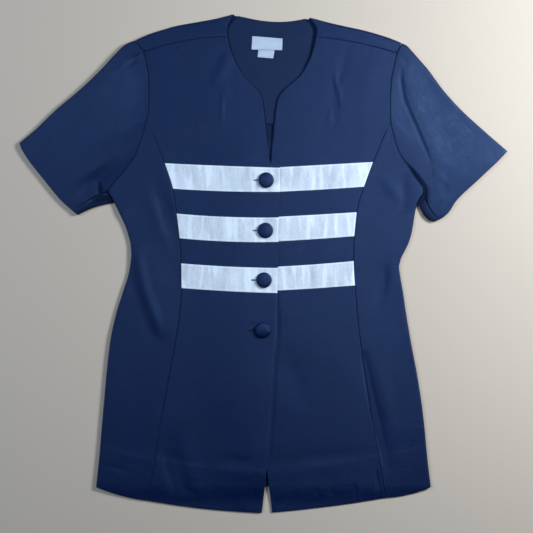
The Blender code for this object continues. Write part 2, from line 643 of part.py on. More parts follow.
def sleeve_object(name, ring, top, cuff, underarm, right, group):
    """A sleeve: its sections pass from the hem to the armhole's edge, flat beneath."""
    arm = sewn_edge(ring, top, right)
    hem = []
    for rim in ring:
        x, y = along(cuff, rim.share)
        hem.append((x, y, 0.5 * CUFF_HEIGHT * (1 + rim.layer * roundness(rim.share))))
    hem = np.array(hem)
    grid = []
    for station in range(SLEEVE_FACES + 1):
        part = station / SLEEVE_FACES
        top_bend = along(top, part) - (1 - part) * along(top, 0.0) - part * along(top, 1.0)
        under_bend = along(underarm, part) - (1 - part) * along(underarm, 0.0)
        under_bend -= part * along(underarm, 1.0)
        row = []
        for index, rim in enumerate(ring):
            spot = (1 - part) * hem[index] + part * arm[index]
            spot[:2] += (1 - rim.share) * top_bend + rim.share * under_bend
            turned = rim.layer * roundness(rim.share)
            spot[2] += SLEEVE_RAISE * math.sin(math.pi * part) * 0.5 * (1 + turned)
            if station < SLEEVE_FACES:
                spot[2] += relief(spot[0], spot[1]) * max(0.0, turned) ** 3
            row.append(tuple(spot))
        grid.append(row)
    grid = np.array(grid)
    faces = grid_faces(grid.shape[0], grid.shape[1], not right, closed=True)
    built = mesh_object(name, grid.reshape(-1, 3), faces, NAVY, group)
    thicken(built, CLOTH)
    return built


def band_object(name, grid, sections, band, right, group):
    """A band, from the points of its panel between two sections, moved out."""
    names = [row.place for row in sections]
    first, last = names.index(band.lower), names.index(band.upper)
    turned = not right
    moved = grid + outward(grid, turned) * (GAP + BAND_CLOTH)
    return grid_object(name, moved[first : last + 1], WHITE, BAND_CLOTH, turned, group)


def facing_object(group):
    """The facing, lying on the inside of the back below the neckline."""
    columns = 2 * NECK_FACES
    grid = []
    for row in FACING:
        line = []
        for column in range(columns + 1):
            share = column / columns
            x = (1 - share) * row.left_x + share * row.right_x
            y = (1 - share) * row.left_y + share * row.right_y + 4 * row.bow * share * (1 - share)
            line.append((x, y, CLOTH + GAP + FACING_CLOTH))
        grid.append(line)
    top = []
    for column in range(columns + 1):
        x, y = along(NECKLINE, 0.06 + 0.88 * column / columns)
        top.append((x, y - GAP, CLOTH + GAP + FACING_CLOTH))
    grid.append(top)
    return grid_object("back_neck_facing", np.array(grid), INSIDE, FACING_CLOTH, False, group)


def patch_object(name, corners, lower, group):
    """A small flat patch of label cloth on the facing."""
    top = lower + LABEL_CLOTH
    grid = np.array([
        [(corners[0].x, corners[0].y, top), (corners[1].x, corners[1].y, top)],
        [(corners[3].x, corners[3].y, top), (corners[2].x, corners[2].y, top)],
    ])
    return grid_object(name, grid, LABEL_WHITE, LABEL_CLOTH, False, group)


def button_object(number, button, seat, foot, group):
    """A covered dome button on its shank, turned about its own axis."""
    rim = BUTTON_RADIUS
    profile = (
        (0.0, foot), (SHANK_RADIUS, foot), (SHANK_RADIUS, seat + 0.2), (rim * 0.86, seat),
        (rim * 0.97, seat + 0.55), (rim, seat + 1.3), (rim * 0.965, seat + 2.3),
        (rim * 0.86, seat + 3.5), (rim * 0.66, seat + 4.45), (rim * 0.36, seat + 5.0),
        (0.0, seat + BUTTON_HEIGHT),
    )
    points = [(radius, 0.0, height) for radius, height in profile]
    name = f"button_{number}"
    mesh = bpy.data.meshes.new(name)
    edges = [(index, index + 1) for index in range(len(points) - 1)]
    mesh.from_pydata([tuple(MM * value for value in point) for point in points], edges, [])
    mesh.materials.append(material_of(NAVY))
    built = bpy.data.objects.new(name, mesh)
    built.location = (button.x * MM, button.y * MM, 0.0)
    group.objects.link(built)
    turned = built.modifiers.new("turned", "SCREW")
    turned.steps = BUTTON_SEGMENTS
    turned.render_steps = BUTTON_SEGMENTS
    turned.use_merge_vertices = True
    turned.merge_threshold = 0.00001
    turned.use_normal_calculate = True
    return built


def hole_cutter(number, button, group):
    """The slot of a buttonhole, rounded at both ends and taller than the lap."""
    start, end = button.x - button.hole + HOLE_WIDTH / 2, button.x + 1.4
    outline = []
    for centre, first in ((end, -90.0), (start, 90.0)):
        for step in range(5):
            turn = math.radians(first + 45.0 * step)
            outline.append((centre + HOLE_WIDTH / 2 * math.cos(turn),
                            button.y + HOLE_WIDTH / 2 * math.sin(turn)))
    shape = bmesh.new()
    base = shape.faces.new([shape.verts.new((x * MM, y * MM, 0.0045)) for x, y in outline])
    raised = bmesh.ops.extrude_face_region(shape, geom=[base])
    corners = [item for item in raised["geom"] if isinstance(item, bmesh.types.BMVert)]
    bmesh.ops.translate(shape, verts=corners, vec=(0.0, 0.0, 0.006))
    bmesh.ops.recalc_face_normals(shape, faces=shape.faces)
    mesh = bpy.data.meshes.new(f"buttonhole_{number}")
    shape.to_mesh(mesh)
    shape.free()
    cutter = bpy.data.objects.new(f"buttonhole_{number}", mesh)
    cutter.hide_render = True
    cutter.display_type = "WIRE"
    group.objects.link(cutter)
    return cutter


def cut(built, cutter):
    """One slot through a piece."""
    slot = built.modifiers.new(cutter.name, "BOOLEAN")
    slot.operation = "DIFFERENCE"
    slot.solver = "EXACT"
    slot.object = cutter


def build():
    """The whole jacket."""
    for old in list(bpy.data.objects):
        bpy.data.objects.remove(old, do_unlink=True)
    jacket = bpy.data.collections.new("blazer")
    cutters = bpy.data.collections.new("cutters")
    cutters.hide_render = True
    bpy.context.scene.collection.children.link(jacket)
    bpy.context.scene.collection.children.link(cutters)
    holes = [hole_cutter(number, button, cutters) for number, button in enumerate(BUTTONS, 1)]
    back_object(jacket)
    facing_object(jacket)
    base = CLOTH + GAP + FACING_CLOTH + GAP
    patch_object("neck_label", LABEL, base, jacket)
    patch_object("care_tab", CARE_TAB, base, jacket)
    fronts = (
        ("right", FRONT_RIGHT, YOKE_RIGHT, ARMHOLE_RIGHT, SLEEVE_TOP_RIGHT, CUFF_RIGHT, UNDERARM_RIGHT),
        ("left", FRONT_LEFT, YOKE_LEFT, ARMHOLE_LEFT, SLEEVE_TOP_LEFT, CUFF_LEFT, UNDERARM_LEFT),
    )
    for word, sections, yokes, armhole, top, cuff, underarm in fronts:
        right = word == "right"
        centre = centre_rows(sections, yokes, right)
        side = side_rows(sections, armhole)
        panel = grid_object(f"front_{word}_centre", centre, NAVY, CLOTH, not right, jacket)
        grid_object(f"front_{word}_side", side, NAVY, CLOTH, not right, jacket)
        ring = armhole_ring(centre, side, sections, right)
        sleeve_object(f"sleeve_{word}", ring, top, cuff, underarm, right, jacket)
        for band in BANDS:
            strip = band_object(f"band_{word}_{band.number}", centre, sections, band, right, jacket)
            if right:
                cut(strip, holes[band.number - 1])
        if right:
            for hole in holes:
                cut(panel, hole)
    for number, button in enumerate(BUTTONS, 1):
        on_band = number <= len(BANDS)
        cover = GAP + BAND_CLOTH if on_band else 0.0
        around = [(button.x + BUTTON_RADIUS * math.cos(turn), button.y + BUTTON_RADIUS * math.sin(turn))
                  for turn in np.linspace(0.0, 2 * math.pi, 16)]
        seat = max(lifted(x, y, True) for x, y in around) + cover + GAP
        foot = lifted(button.x, button.y, False) + cover + GAP
        button_object(number, button, seat, foot, jacket)


build()
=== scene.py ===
"""Dresses a collarless short-sleeved suit jacket, laid flat with its front up, as an add-on script.

Tables are in millimetres, seen from above: x to the wearer's left, y towards the neck, z up from
the surface it lies on. Right and left are the wearer's. Each piece of cloth is a fine grid on its
outside, in the place of its solid, thickened inwards.
"""

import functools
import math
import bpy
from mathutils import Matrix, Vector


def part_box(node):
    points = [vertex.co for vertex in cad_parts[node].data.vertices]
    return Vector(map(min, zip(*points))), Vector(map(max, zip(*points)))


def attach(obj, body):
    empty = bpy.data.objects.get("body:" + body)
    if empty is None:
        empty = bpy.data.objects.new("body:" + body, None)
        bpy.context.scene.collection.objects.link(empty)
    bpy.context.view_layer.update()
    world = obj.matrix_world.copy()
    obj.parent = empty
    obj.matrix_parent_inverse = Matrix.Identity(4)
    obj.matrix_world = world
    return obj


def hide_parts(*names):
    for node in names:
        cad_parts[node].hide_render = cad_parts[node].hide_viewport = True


bl_info = {
    "name": "Blazer laid flat",
    "version": (1, 0, 0),
    "blender": (4, 5, 0),
    "location": "View3D > Sidebar > Blazer",
    "description": "Makes the cloth, sewing and finishes of a collarless short-sleeved suit jacket",
    "category": "Object",
}

from collections import namedtuple

import bmesh
import bpy
import numpy as np
from mathutils import Matrix, Vector, noise

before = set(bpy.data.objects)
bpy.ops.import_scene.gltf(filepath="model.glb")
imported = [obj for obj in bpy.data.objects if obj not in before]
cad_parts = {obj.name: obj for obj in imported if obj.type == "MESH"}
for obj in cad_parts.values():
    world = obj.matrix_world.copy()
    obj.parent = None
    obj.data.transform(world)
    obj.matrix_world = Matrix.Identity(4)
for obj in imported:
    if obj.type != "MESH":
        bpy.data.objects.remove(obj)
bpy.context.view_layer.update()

# Sizes of the cloth and of the layers, as in the solids
MM = 0.001
CLOTH = 1.2
BAND_CLOTH = 1.0
FACING_CLOTH = 1.0
LABEL_CLOTH = 1.0
GAP = 0.3
REST_HEIGHT = 3.8
FACING_RAISE = 1.3
SHOULDER_RAISE = 3.2
SIDE_RAISE = 1.5
HEM_DROP = 2.0
ROLL_DEPTH = 2.7
SHOULDER_ROLL = 1.5 * ROLL_DEPTH
LAP_RAISE = CLOTH + BAND_CLOTH + 2 * GAP
CUFF_HEIGHT = 5.4
SLEEVE_RAISE = 1.4
SLEEVE_WIDTH = 138.0
SLEEVE_LENGTH = 150.0
UNDERARM_GAP = 0.9
LAST_SIDE = 17
ARMHOLE_ROW = 21

# Where those heights change, along y: from the place where each starts to where it is whole
FACING_SLOPE = (172.0, 212.0)
SHOULDER_SLOPE = (250.0, 336.0)
HEM_SLOPE = (-321.0, -350.0)
LAP_START = (-345.0, -300.0)
LAP_END = (198.0, 158.0)

# Sizes that only the cloth has: the wall of the labels, how far the lap slopes, and how deep and
# how thick the layers are that show through where they are turned in
LABEL_WALL = 0.6
LAP_SLOPE = 95.0
HEM_DEPTH = 63.0
HEM_LAYER = 0.3
CUFF_DEPTH = 30.0
CUFF_LAYER = 0.15

# How finely the cloth is divided, and how far a piece may lie from its solid
EDGE_STEPS = (0.0, 0.6, 1.3, 2.2, 3.4)
ROW_STEP = 3.0
CENTRE_COLUMNS = 80
SIDE_COLUMNS = 34
SLEEVE_ROWS = 76
STRIP_ROWS = 12
ROLL_TURNS = (0.0, 12.0, 30.0, 48.0, 66.0, 80.0)
SHOULDER_TURNS = (-90.0, -66.0, -44.0, -22.0, 0.0, 20.0, 38.0, 56.0, 74.0, 90.0)
SHOULDER_COLUMNS = 16
NECK_COLUMNS = 15
FACING_COLUMNS = 110
BACK_ARM_STEPS = 43
OFF_THE_SOLID = 4.0

# About how long the edges are that those steps divide
SHOULDER_SPAN = 140.0
NECK_SPAN = 130.0
STRIP_SPAN = 26.0
FACING_SPAN = 150.0

# Layers of unevenness: the size of the hollows, the seed and the share of the height
SWELLS = ((64.0, 3.7, 1.0), (23.0, 9.1, 0.4))

# How much steeper a lean of 1 makes one side of a crease
LEAN = 1.6

# The roll at a side fold, turn by turn: how far in, how far up and how much cloth is left to turn
ROLL = np.radians(ROLL_TURNS)
ROLL_INWARD = 1 - np.cos(ROLL)
ROLL_UP = np.sin(ROLL) ** 0.85
ROLL_LEFT = ROLL_DEPTH * (math.pi / 2 - ROLL)

# Distances that the finish reads for its painted shade: where no seam is near, and at a seam where the
# painted shade is only half dark
FAR = 40.0
SEAM_SHADE = 0.35

# Buttons, with the outline of the dome: shares of its radius, and heights over its rim
BUTTON_RADIUS = 11.3
BUTTON_HEIGHT = 5.2
BUTTON_SPIN = 72
SHANK_RADIUS = 0.6
SLIT = 0.9
SLIT_PAST = 2.0
THREAD = 0.3
DOME = (
    (0.5, 0.35), (0.84, 0.02), (0.93, 0.2), (0.985, 0.75), (1.0, 1.4), (0.99, 2.1), (0.955, 2.75),
    (0.90, 3.3), (0.82, 3.78), (0.72, 4.18), (0.60, 4.52), (0.46, 4.80), (0.31, 5.0), (0.15, 5.14),
    (0.0, BUTTON_HEIGHT),
)

# Navy cloths, each with a colour from the settings, its roughness, how much its edges are lightened where
# worn and by a painted highlight, and how mottled it is; then how much they mirror, and the colours of the
# sky's light and of the threads
Weave = namedtuple("Weave", "colour roughness wear mottle")
WEAVES = {
    "navy_weave": Weave("navy", 0.39, 0.18, 0.20),
    "facing_weave": Weave("inside", 0.50, 0.20, 0.20),
    "cover_weave": Weave("navy", 0.40, 0.0, 0.40),
}
CLOTH_MIRROR = 0.75
SKY_TINT = (0.86, 0.92, 1.0)
THREADS = {"white_thread": (0.55, 0.63, 0.78), "navy_thread": (0.005, 0.009, 0.026)}

# Sections of a front from the hem up to the armhole, each running from the side fold over the
# princess seam to the front edge. The bow lifts the middle of its centre panel.
Section = namedtuple("Section", "place side_x side_y seam_x seam_y edge_x edge_y bow")
FRONT_RIGHT = (
    Section("hem", -243.0, -324.0, -168.0, -344.5, -2.5, -362.1, -3.0),
    Section("top of hem", -238.5, -282.0, -161.0, -302.0, 2.5, -320.0, -2.5),
    Section("skirt", -235.0, -240.0, -154.0, -255.0, 6.5, -268.0, -2.0),
    Section("skirt", -231.0, -195.0, -145.5, -208.0, 10.5, -215.0, -1.5),
    Section("hip", -227.0, -152.0, -136.5, -161.0, 14.0, -165.0, -1.0),
    Section("hip", -222.0, -110.0, -128.0, -115.0, 18.0, -118.0, -1.0),
    Section("below the bands", -213.5, -72.0, -121.5, -73.0, 19.8, -78.0, -1.0),
    Section("third band, lower", -203.5, -40.0, -118.8, -35.4, 20.2, -42.6, -1.0),
    Section("third band, middle", -196.5, -18.0, -118.9, -17.5, 20.5, -24.4, -1.2),
    Section("third band, upper", -193.0, 1.0, -119.3, 0.4, 20.9, -6.2, -1.4),
    Section("waist", -191.8, 14.5, -120.4, 18.6, 21.1, 12.6, -1.8),
    Section("second band, lower", -193.0, 28.5, -121.7, 36.9, 21.4, 31.4, -2.2),
    Section("second band, middle", -195.8, 40.5, -123.6, 54.8, 21.7, 49.2, -2.1),
    Section("second band, upper", -199.5, 52.0, -125.9, 72.6, 22.2, 66.9, -2.0),
    Section("between bands", -204.0, 62.5, -128.2, 90.6, 22.9, 85.4, -1.8),
    Section("first band, lower", -208.5, 72.0, -131.1, 108.7, 23.6, 103.9, -1.6),
    Section("first band, middle", -213.0, 81.0, -136.6, 127.2, 23.9, 121.4, -1.0),
    Section("first band, upper", -217.0, 89.0, -143.0, 145.7, 24.0, 138.8, -0.5),
    Section("corner of the front", -219.5, 93.5, -146.6, 154.4, 22.6, 143.6, 0.0),
    Section("notch", -221.6, 97.0, -150.4, 163.8, 10.2, 147.4, 0.0),
    Section("above the notch", -224.0, 100.2, -159.6, 186.4, 5.8, 170.0, 0.0),
    Section("armhole", -226.4, 103.6, -169.0, 208.0, 2.9, 203.0, 0.0),
)
FRONT_LEFT = (
    Section("hem", 243.0, -324.0, 177.0, -340.0, 12.6, -361.2, -2.0),
    Section("top of hem", 238.0, -282.0, 170.0, -300.0, 7.5, -319.0, -2.0),
    Section("skirt", 234.5, -244.0, 162.0, -252.0, -2.0, -262.0, -1.5),
    Section("skirt", 229.8, -203.0, 154.5, -207.0, -8.0, -213.0, -1.0),
    Section("hip", 223.5, -163.0, 147.8, -162.0, -13.0, -165.0, -1.0),
    Section("hip", 215.4, -120.0, 141.0, -117.0, -17.5, -118.0, -1.0),
    Section("below the bands", 208.0, -77.0, 136.0, -73.0, -19.0, -77.0, -1.0),
    Section("third band, lower", 202.5, -40.0, 132.8, -31.5, -19.0, -40.6, -0.9),
    Section("third band, middle", 199.0, -20.0, 131.6, -14.0, -19.0, -23.2, -1.0),
    Section("third band, upper", 197.0, -3.5, 130.8, 3.8, -19.0, -6.0, -1.2),
    Section("waist", 199.8, 8.0, 131.0, 21.6, -19.0, 12.4, -1.0),
    Section("second band, lower", 205.5, 19.0, 131.8, 39.9, -18.6, 30.6, -0.8),
    Section("second band, middle", 210.6, 29.5, 133.4, 57.2, -18.5, 48.4, -0.5),
    Section("second band, upper", 214.6, 42.0, 135.3, 74.6, -18.5, 66.0, -0.3),
    Section("between bands", 217.2, 55.0, 139.4, 93.0, -18.0, 85.0, -0.6),
    Section("first band, lower", 219.0, 67.0, 145.8, 111.6, -17.6, 102.8, -0.9),
    Section("first band, middle", 221.0, 78.0, 152.2, 129.6, -17.4, 120.4, -0.5),
    Section("first band, upper", 223.6, 87.0, 158.9, 147.4, -17.0, 137.6, 0.0),
    Section("corner of the front", 226.0, 91.6, 162.2, 155.6, -13.0, 143.2, 0.0),
    Section("notch", 228.2, 95.0, 166.6, 165.0, 10.2, 148.4, 0.0),
    Section("above the notch", 230.2, 98.4, 175.0, 186.4, 12.6, 171.6, 0.0),
    Section("armhole", 232.0, 102.0, 184.0, 206.0, 15.8, 203.0, 0.0),
)

# Sections above that, each running from the armhole to the neckline
Yoke = namedtuple("Yoke", "arm_x arm_y edge_x edge_y bow")
YOKE_RIGHT = (
    Yoke(-167.2, 220.6, 1.2, 219.0, 0.0),
    Yoke(-166.2, 233.0, -0.6, 232.0, 0.0),
    Yoke(-165.9, 246.0, -3.0, 243.0, 0.0),
    Yoke(-166.0, 258.4, -9.6, 253.2, 0.4),
    Yoke(-166.6, 270.0, -20.4, 263.2, 0.8),
    Yoke(-167.8, 280.4, -33.4, 278.4, 1.6),
    Yoke(-169.2, 289.8, -43.6, 298.6, 2.6),
    Yoke(-171.0, 298.6, -49.8, 315.4, 3.8),
    Yoke(-173.2, 307.0, -52.2, 329.0, 5.0),
)
YOKE_LEFT = (
    Yoke(183.6, 219.6, 17.4, 218.6, 0.0),
    Yoke(183.4, 232.4, 19.2, 232.0, 0.0),
    Yoke(183.7, 245.4, 23.2, 243.6, 0.0),
    Yoke(184.4, 257.4, 30.6, 253.4, 0.4),
    Yoke(185.4, 268.0, 41.4, 262.0, 0.8),
    Yoke(187.0, 278.0, 53.6, 273.2, 1.4),
    Yoke(189.0, 287.2, 63.8, 289.2, 2.0),
    Yoke(191.0, 296.2, 71.4, 308.0, 2.6),
    Yoke(193.2, 305.0, 76.2, 329.0, 3.2),
)

# Seams and edges in plan, each from its first named end to the other
ARMHOLE_RIGHT = ((-226.4, 103.6), (-221.0, 112.0), (-213.4, 121.6), (-202.0, 135.0), (-188.4, 152.6),
                 (-177.4, 181.0), (-169.0, 208.0))
ARMHOLE_LEFT = ((232.0, 102.0), (229.6, 112.4), (221.0, 123.4), (209.4, 141.4), (197.4, 160.0),
                (189.4, 183.0), (184.0, 206.0))
BACK_ARM_RIGHT = ((-208.6, 105.0), (-198.0, 128.0), (-187.6, 160.0), (-181.6, 200.0), (-178.2, 240.0),
                  (-177.6, 274.0), (-179.6, 298.0))
BACK_ARM_LEFT = ((214.0, 104.0), (203.6, 128.0), (195.2, 160.0), (190.6, 198.0), (188.2, 237.0),
                 (189.0, 271.0), (192.8, 296.0))
SHOULDER_RIGHT = ((-185.0, 324.4), (-164.0, 333.6), (-146.0, 339.2), (-127.0, 344.8), (-95.0, 350.6),
                  (-63.0, 356.6), (-42.4, 362.3))
SHOULDER_LEFT = ((200.4, 320.2), (182.0, 327.6), (165.0, 333.0), (144.0, 338.8), (117.0, 344.6),
                 (92.0, 350.4), (66.4, 357.4))
NECKLINE = ((-42.4, 361.4), (-25.4, 357.6), (-9.0, 354.2), (8.0, 352.1), (25.0, 351.5), (41.0, 352.6),
            (54.6, 354.8), (66.4, 357.4))
SLEEVE_TOP_RIGHT = ((-354.0, 175.4), (-331.0, 194.6), (-301.0, 223.0), (-266.0, 252.4), (-235.6, 281.4),
                    (-214.6, 304.2), (-202.0, 316.4), (-193.4, 321.4), (-185.0, 324.4))
SLEEVE_TOP_LEFT = ((354.0, 163.4), (318.4, 194.2), (286.6, 223.2), (260.4, 252.0), (238.8, 281.2),
                   (224.0, 298.4), (214.0, 309.8), (207.6, 316.6), (200.4, 320.2))
CUFF_RIGHT = ((-354.0, 175.4), (-351.4, 167.8), (-343.0, 153.4), (-320.0, 123.6), (-295.0, 93.2),
              (-281.0, 80.2), (-269.6, 70.6))
CUFF_LEFT = ((354.0, 163.4), (342.0, 150.4), (311.4, 121.4), (281.0, 92.6), (268.0, 73.6), (256.4, 64.4),
             (246.4, 61.0))
UNDERARM_RIGHT = ((-269.6, 70.6), (-253.4, 78.6), (-238.0, 84.2), (-217.9, 89.0))
UNDERARM_LEFT = ((246.4, 61.0), (240.0, 63.6), (233.0, 70.0), (224.4, 86.4))

# Largest folds: a valley where the lift is negative, along a straight line and fading at its ends
Fold = namedtuple("Fold", "from_x from_y to_x to_y width lift")
FOLDS = (
    Fold(-148.0, 107.0, -126.0, 30.0, 10.0, -0.8),
    Fold(-166.0, 96.0, -143.0, 30.0, 9.0, 0.9),
    Fold(-214.0, 66.0, -188.0, 92.0, 8.0, 1.0),
    Fold(-171.0, 34.0, -136.0, -96.0, 15.0, 1.1),
    Fold(179.0, -8.0, 163.0, -64.0, 11.0, -0.8),
    Fold(190.0, 12.0, 178.0, -50.0, 10.0, 0.9),
    Fold(145.0, -138.0, 166.0, -232.0, 11.0, -0.9),
    Fold(166.0, -232.0, 184.0, -306.0, 11.0, -0.9),
    Fold(160.0, -130.0, 186.0, -236.0, 12.0, 0.7),
    Fold(30.0, -132.0, 62.0, -204.0, 15.0, -0.9),
    Fold(-137.0, -264.0, -112.0, -344.0, 13.0, -1.3),
    Fold(-112.0, -262.0, -92.0, -350.0, 14.0, 0.7),
    Fold(104.0, 268.0, 100.0, 194.0, 9.0, -0.5),
    Fold(-148.0, 290.0, -118.0, 236.0, 16.0, 0.7),
    Fold(164.0, 290.0, 138.0, 232.0, 16.0, 0.7),
    Fold(200.0, 92.0, 176.0, 120.0, 9.0, 1.0),
    Fold(-220.0, 140.0, -260.0, 108.0, 10.0, -3.2),
    Fold(-222.0, 116.0, -246.0, 96.0, 8.0, 0.5),
    Fold(-214.0, 152.0, -268.0, 126.0, 13.0, 1.2),
    Fold(-178.0, 304.0, -194.0, 288.0, 7.0, -0.9),
    Fold(208.0, 288.0, 216.0, 240.0, 11.0, 0.9),
    Fold(216.0, 240.0, 238.0, 186.0, 12.0, 1.5),
    Fold(238.0, 186.0, 258.0, 142.0, 13.0, 1.3),
    Fold(240.0, 126.0, 241.0, 92.0, 9.0, -1.2),
    Fold(203.0, 122.0, 204.0, 78.0, 7.0, -1.3),
    Fold(252.0, 118.0, 252.0, 84.0, 9.0, 1.2),
)

# Buttons, with how far each buttonhole shows to the right front's side of the button
Button = namedtuple("Button", "x y hole")
BUTTONS = (
    Button(3.8, 120.8, 17.2),
    Button(2.8, 48.0, 17.2),
    Button(0.8, -23.8, 17.4),
    Button(-1.0, -96.4, 21.4),
)

# Bands, between two sections of a front
Band = namedtuple("Band", "number lower upper")
BANDS = (
    Band(1, "first band, lower", "first band, upper"),
    Band(2, "second band, lower", "second band, upper"),
    Band(3, "third band, lower", "third band, upper"),
)

# Facing inside the back neck, from its lower edge up to the neckline
Facing = namedtuple("Facing", "left_x left_y right_x right_y bow")
FACING = (
    Facing(-64.0, 207.0, 92.0, 207.0, -5.0),
    Facing(-68.0, 240.0, 95.0, 240.0, -4.0),
    Facing(-71.0, 276.0, 97.0, 276.0, -3.0),
    Facing(-70.0, 310.0, 96.0, 308.0, -2.0),
    Facing(-58.0, 338.0, 84.0, 335.0, -2.0),
)
LABEL = ((-17.2, 310.8), (27.2, 309.8), (27.8, 326.6), (-16.2, 330.2))
CARE_TAB = ((-8.4, 299.8), (14.2, 297.8), (16.2, 309.5), (-7.4, 310.0))

# Finer creases: a hollow where the lift is negative. The lean makes one side of it steep.
Crease = namedtuple("Crease", "from_x from_y to_x to_y width lift lean")
CREASES = (
    # right sleeve
    Crease(-255.0, 94.5, -241.0, 92.4, 2.6, -0.7, 0.4),
    Crease(-258.0, 110.0, -240.0, 118.0, 5.0, 0.5, 0.5),
    Crease(-176.3, 303.5, -192.4, 287.8, 3.4, -0.6, 0.5),
    Crease(-219.0, 128.0, -246.0, 112.0, 5.5, -0.6, 0.7),
    # left sleeve
    Crease(199.4, 302.5, 208.5, 289.0, 3.6, -0.28, 0.4),
    Crease(207.4, 305.0, 210.4, 290.0, 3.4, -0.2, 0.4),
    Crease(256.0, 124.0, 262.0, 96.0, 5.0, -0.5, -0.5),
    Crease(246.0, 140.0, 262.0, 108.0, 7.0, 0.5, -0.4),
    # right front
    Crease(-60.6, 256.0, -62.4, 202.0, 3.4, 0.45, -0.8),
    Crease(-50.0, 306.0, -78.0, 256.0, 9.0, 0.9, -0.8),
    Crease(-55.0, 268.0, -50.0, 232.0, 5.0, 0.3, 0.4),
    Crease(-160.0, 128.0, -132.0, 40.0, 7.0, -0.5, 0.4),
    Crease(-150.0, 150.0, -124.0, 60.0, 6.0, 0.4, 0.0),
    Crease(-146.0, -262.0, -120.0, -340.0, 8.0, -0.5, 0.6),
    Crease(-72.0, -282.0, -8.0, -288.0, 7.0, -0.4, 0.2),
    Crease(-96.0, 60.0, -60.0, 20.0, 9.0, -0.2, 0.2),
    # left front
    Crease(101.6, 284.0, 106.6, 240.0, 2.8, 0.45, -0.8),
    Crease(108.0, 262.0, 111.0, 228.0, 3.4, 0.38, -0.8),
    Crease(97.0, 228.0, 92.0, 190.0, 4.0, 0.3, -0.4),
    Crease(116.0, 310.0, 108.0, 262.0, 9.0, -0.35, -0.5),
    Crease(178.0, -2.0, 165.0, -58.0, 7.0, -0.5, -0.5),
    Crease(186.0, 60.0, 210.0, 88.0, 6.0, -0.5, 0.3),
    Crease(20.0, -284.0, 150.0, -272.0, 8.0, -0.3, 0.2),
    # hem
    Crease(77.0, -326.0, 76.0, -348.0, 3.0, -0.5, -0.6),
    Crease(98.5, -324.0, 98.0, -346.0, 3.2, -0.5, -0.6),
    Crease(132.0, -318.0, 131.0, -340.0, 3.4, -0.5, -0.6),
    Crease(163.5, -300.0, 165.5, -330.0, 3.2, -0.6, -0.6),
    Crease(-232.0, -291.0, -196.0, -300.0, 3.4, -0.3, 0.3),
    # around the buttons
    Crease(26.0, 134.0, 14.0, 124.0, 5.0, -0.3, 0.4),
    Crease(36.0, 133.0, 26.0, 118.0, 3.4, -0.25, -0.5),
    Crease(-26.0, 58.0, -10.0, 50.0, 5.0, -0.25, 0.3),
    Crease(-24.0, -84.0, -12.0, -92.0, 6.0, -0.3, 0.3),
)

# Long creases, each along a smooth line through its points
Bend = namedtuple("Bend", "line width lift lean")
BENDS = (
    Bend(((198.4, 292.0), (199.6, 279.0), (201.4, 256.0), (206.0, 235.0), (213.0, 218.0),
          (223.6, 194.0), (236.0, 164.0), (246.0, 136.0)), 3.2, -0.75, 0.5),
    Bend(((22.4, -30.0), (21.6, -100.0), (17.0, -165.0), (14.0, -215.0), (10.2, -268.0),
          (6.0, -330.0)), 3.2, -0.8, 0.5),
    Bend(((-188.0, 34.0), (-185.0, 4.0), (-177.0, -36.0), (-164.0, -74.0), (-150.0, -116.0)),
         10.0, 1.5, -1.1),
    Bend(((142.6, -118.0), (147.4, -160.0), (157.0, -208.0), (168.6, -258.0), (179.0, -304.0)),
         5.0, -1.1, -0.8),
)

# Pockets where a sleeve tucks in by the underarm, each widening along its line, with painted shade deep in
# them
Pocket = namedtuple("Pocket", "line width lift")
POCKETS = (
    Pocket(((-238.6, 121.0), (-238.2, 112.0), (-237.0, 103.0), (-234.0, 94.0)), 3.4, -2.6),
    Pocket(((-252.0, 86.0), (-241.0, 92.0), (-231.0, 95.5), (-222.0, 93.0)), 8.0, -2.6),
    Pocket(((206.0, 150.0), (214.0, 138.5), (220.4, 128.0), (228.8, 117.5), (235.2, 109.0),
            (235.6, 100.0), (229.0, 88.0)), 3.8, -1.8),
)

# One point of the edge that a sleeve is sewn to: its place, the share of the sleeve's width from
# its top fold, 1 above and -1 beneath, and the part of the edge
Rim = namedtuple("Rim", "point share layer part")

# Everything that belongs to one side of the jacket
Side = namedtuple("Side", "word right sections yokes armhole back_arm shoulder top cuff underarm")
SIDES = (
    Side("right", True, FRONT_RIGHT, YOKE_RIGHT, ARMHOLE_RIGHT, BACK_ARM_RIGHT, SHOULDER_RIGHT,
         SLEEVE_TOP_RIGHT, CUFF_RIGHT, UNDERARM_RIGHT),
    Side("left", False, FRONT_LEFT, YOKE_LEFT, ARMHOLE_LEFT, BACK_ARM_LEFT, SHOULDER_LEFT,
         SLEEVE_TOP_LEFT, CUFF_LEFT, UNDERARM_LEFT),
)


# Sizes and colours that a user may change

# Limits of the three channels of a colour
CHANNELS = {"size": 3, "min": 0.0, "max": 1.0}


class BlazerCloth(bpy.types.PropertyGroup):
    """Colours and weave of the cloths."""

    navy: bpy.props.FloatVectorProperty(
        name="Navy", description="Colour of the outer cloth", subtype="COLOR",
        default=(0.0002, 0.0045, 0.0400), **CHANNELS)
    inside: bpy.props.FloatVectorProperty(
        name="Inside", description="Colour of the facing inside the neck", subtype="COLOR",
        default=(0.0003, 0.0036, 0.0290), **CHANNELS)
    white: bpy.props.FloatVectorProperty(
        name="White", description="Colour of the bands", subtype="COLOR",
        default=(0.500, 0.640, 0.860), **CHANNELS)
    label: bpy.props.FloatVectorProperty(
        name="Label", description="Colour of the neck label and the care tab", subtype="COLOR",
        default=(0.360, 0.500, 0.710), **CHANNELS)
    twill: bpy.props.FloatProperty(
        name="Twill", description="Distance between the lines of the twill", unit="LENGTH",
        min=0.0001, max=0.01, default=0.00075)
    weave_depth: bpy.props.FloatProperty(
        name="Weave depth", description="Height of a thread over the hollows", unit="LENGTH",
        min=0.0, max=0.001, default=0.00008)
    glow: bpy.props.FloatVectorProperty(
        name="Glow", description="Colour of the light that the navy cloth throws back",
        subtype="COLOR", default=(0.180, 0.350, 0.740), **CHANNELS)


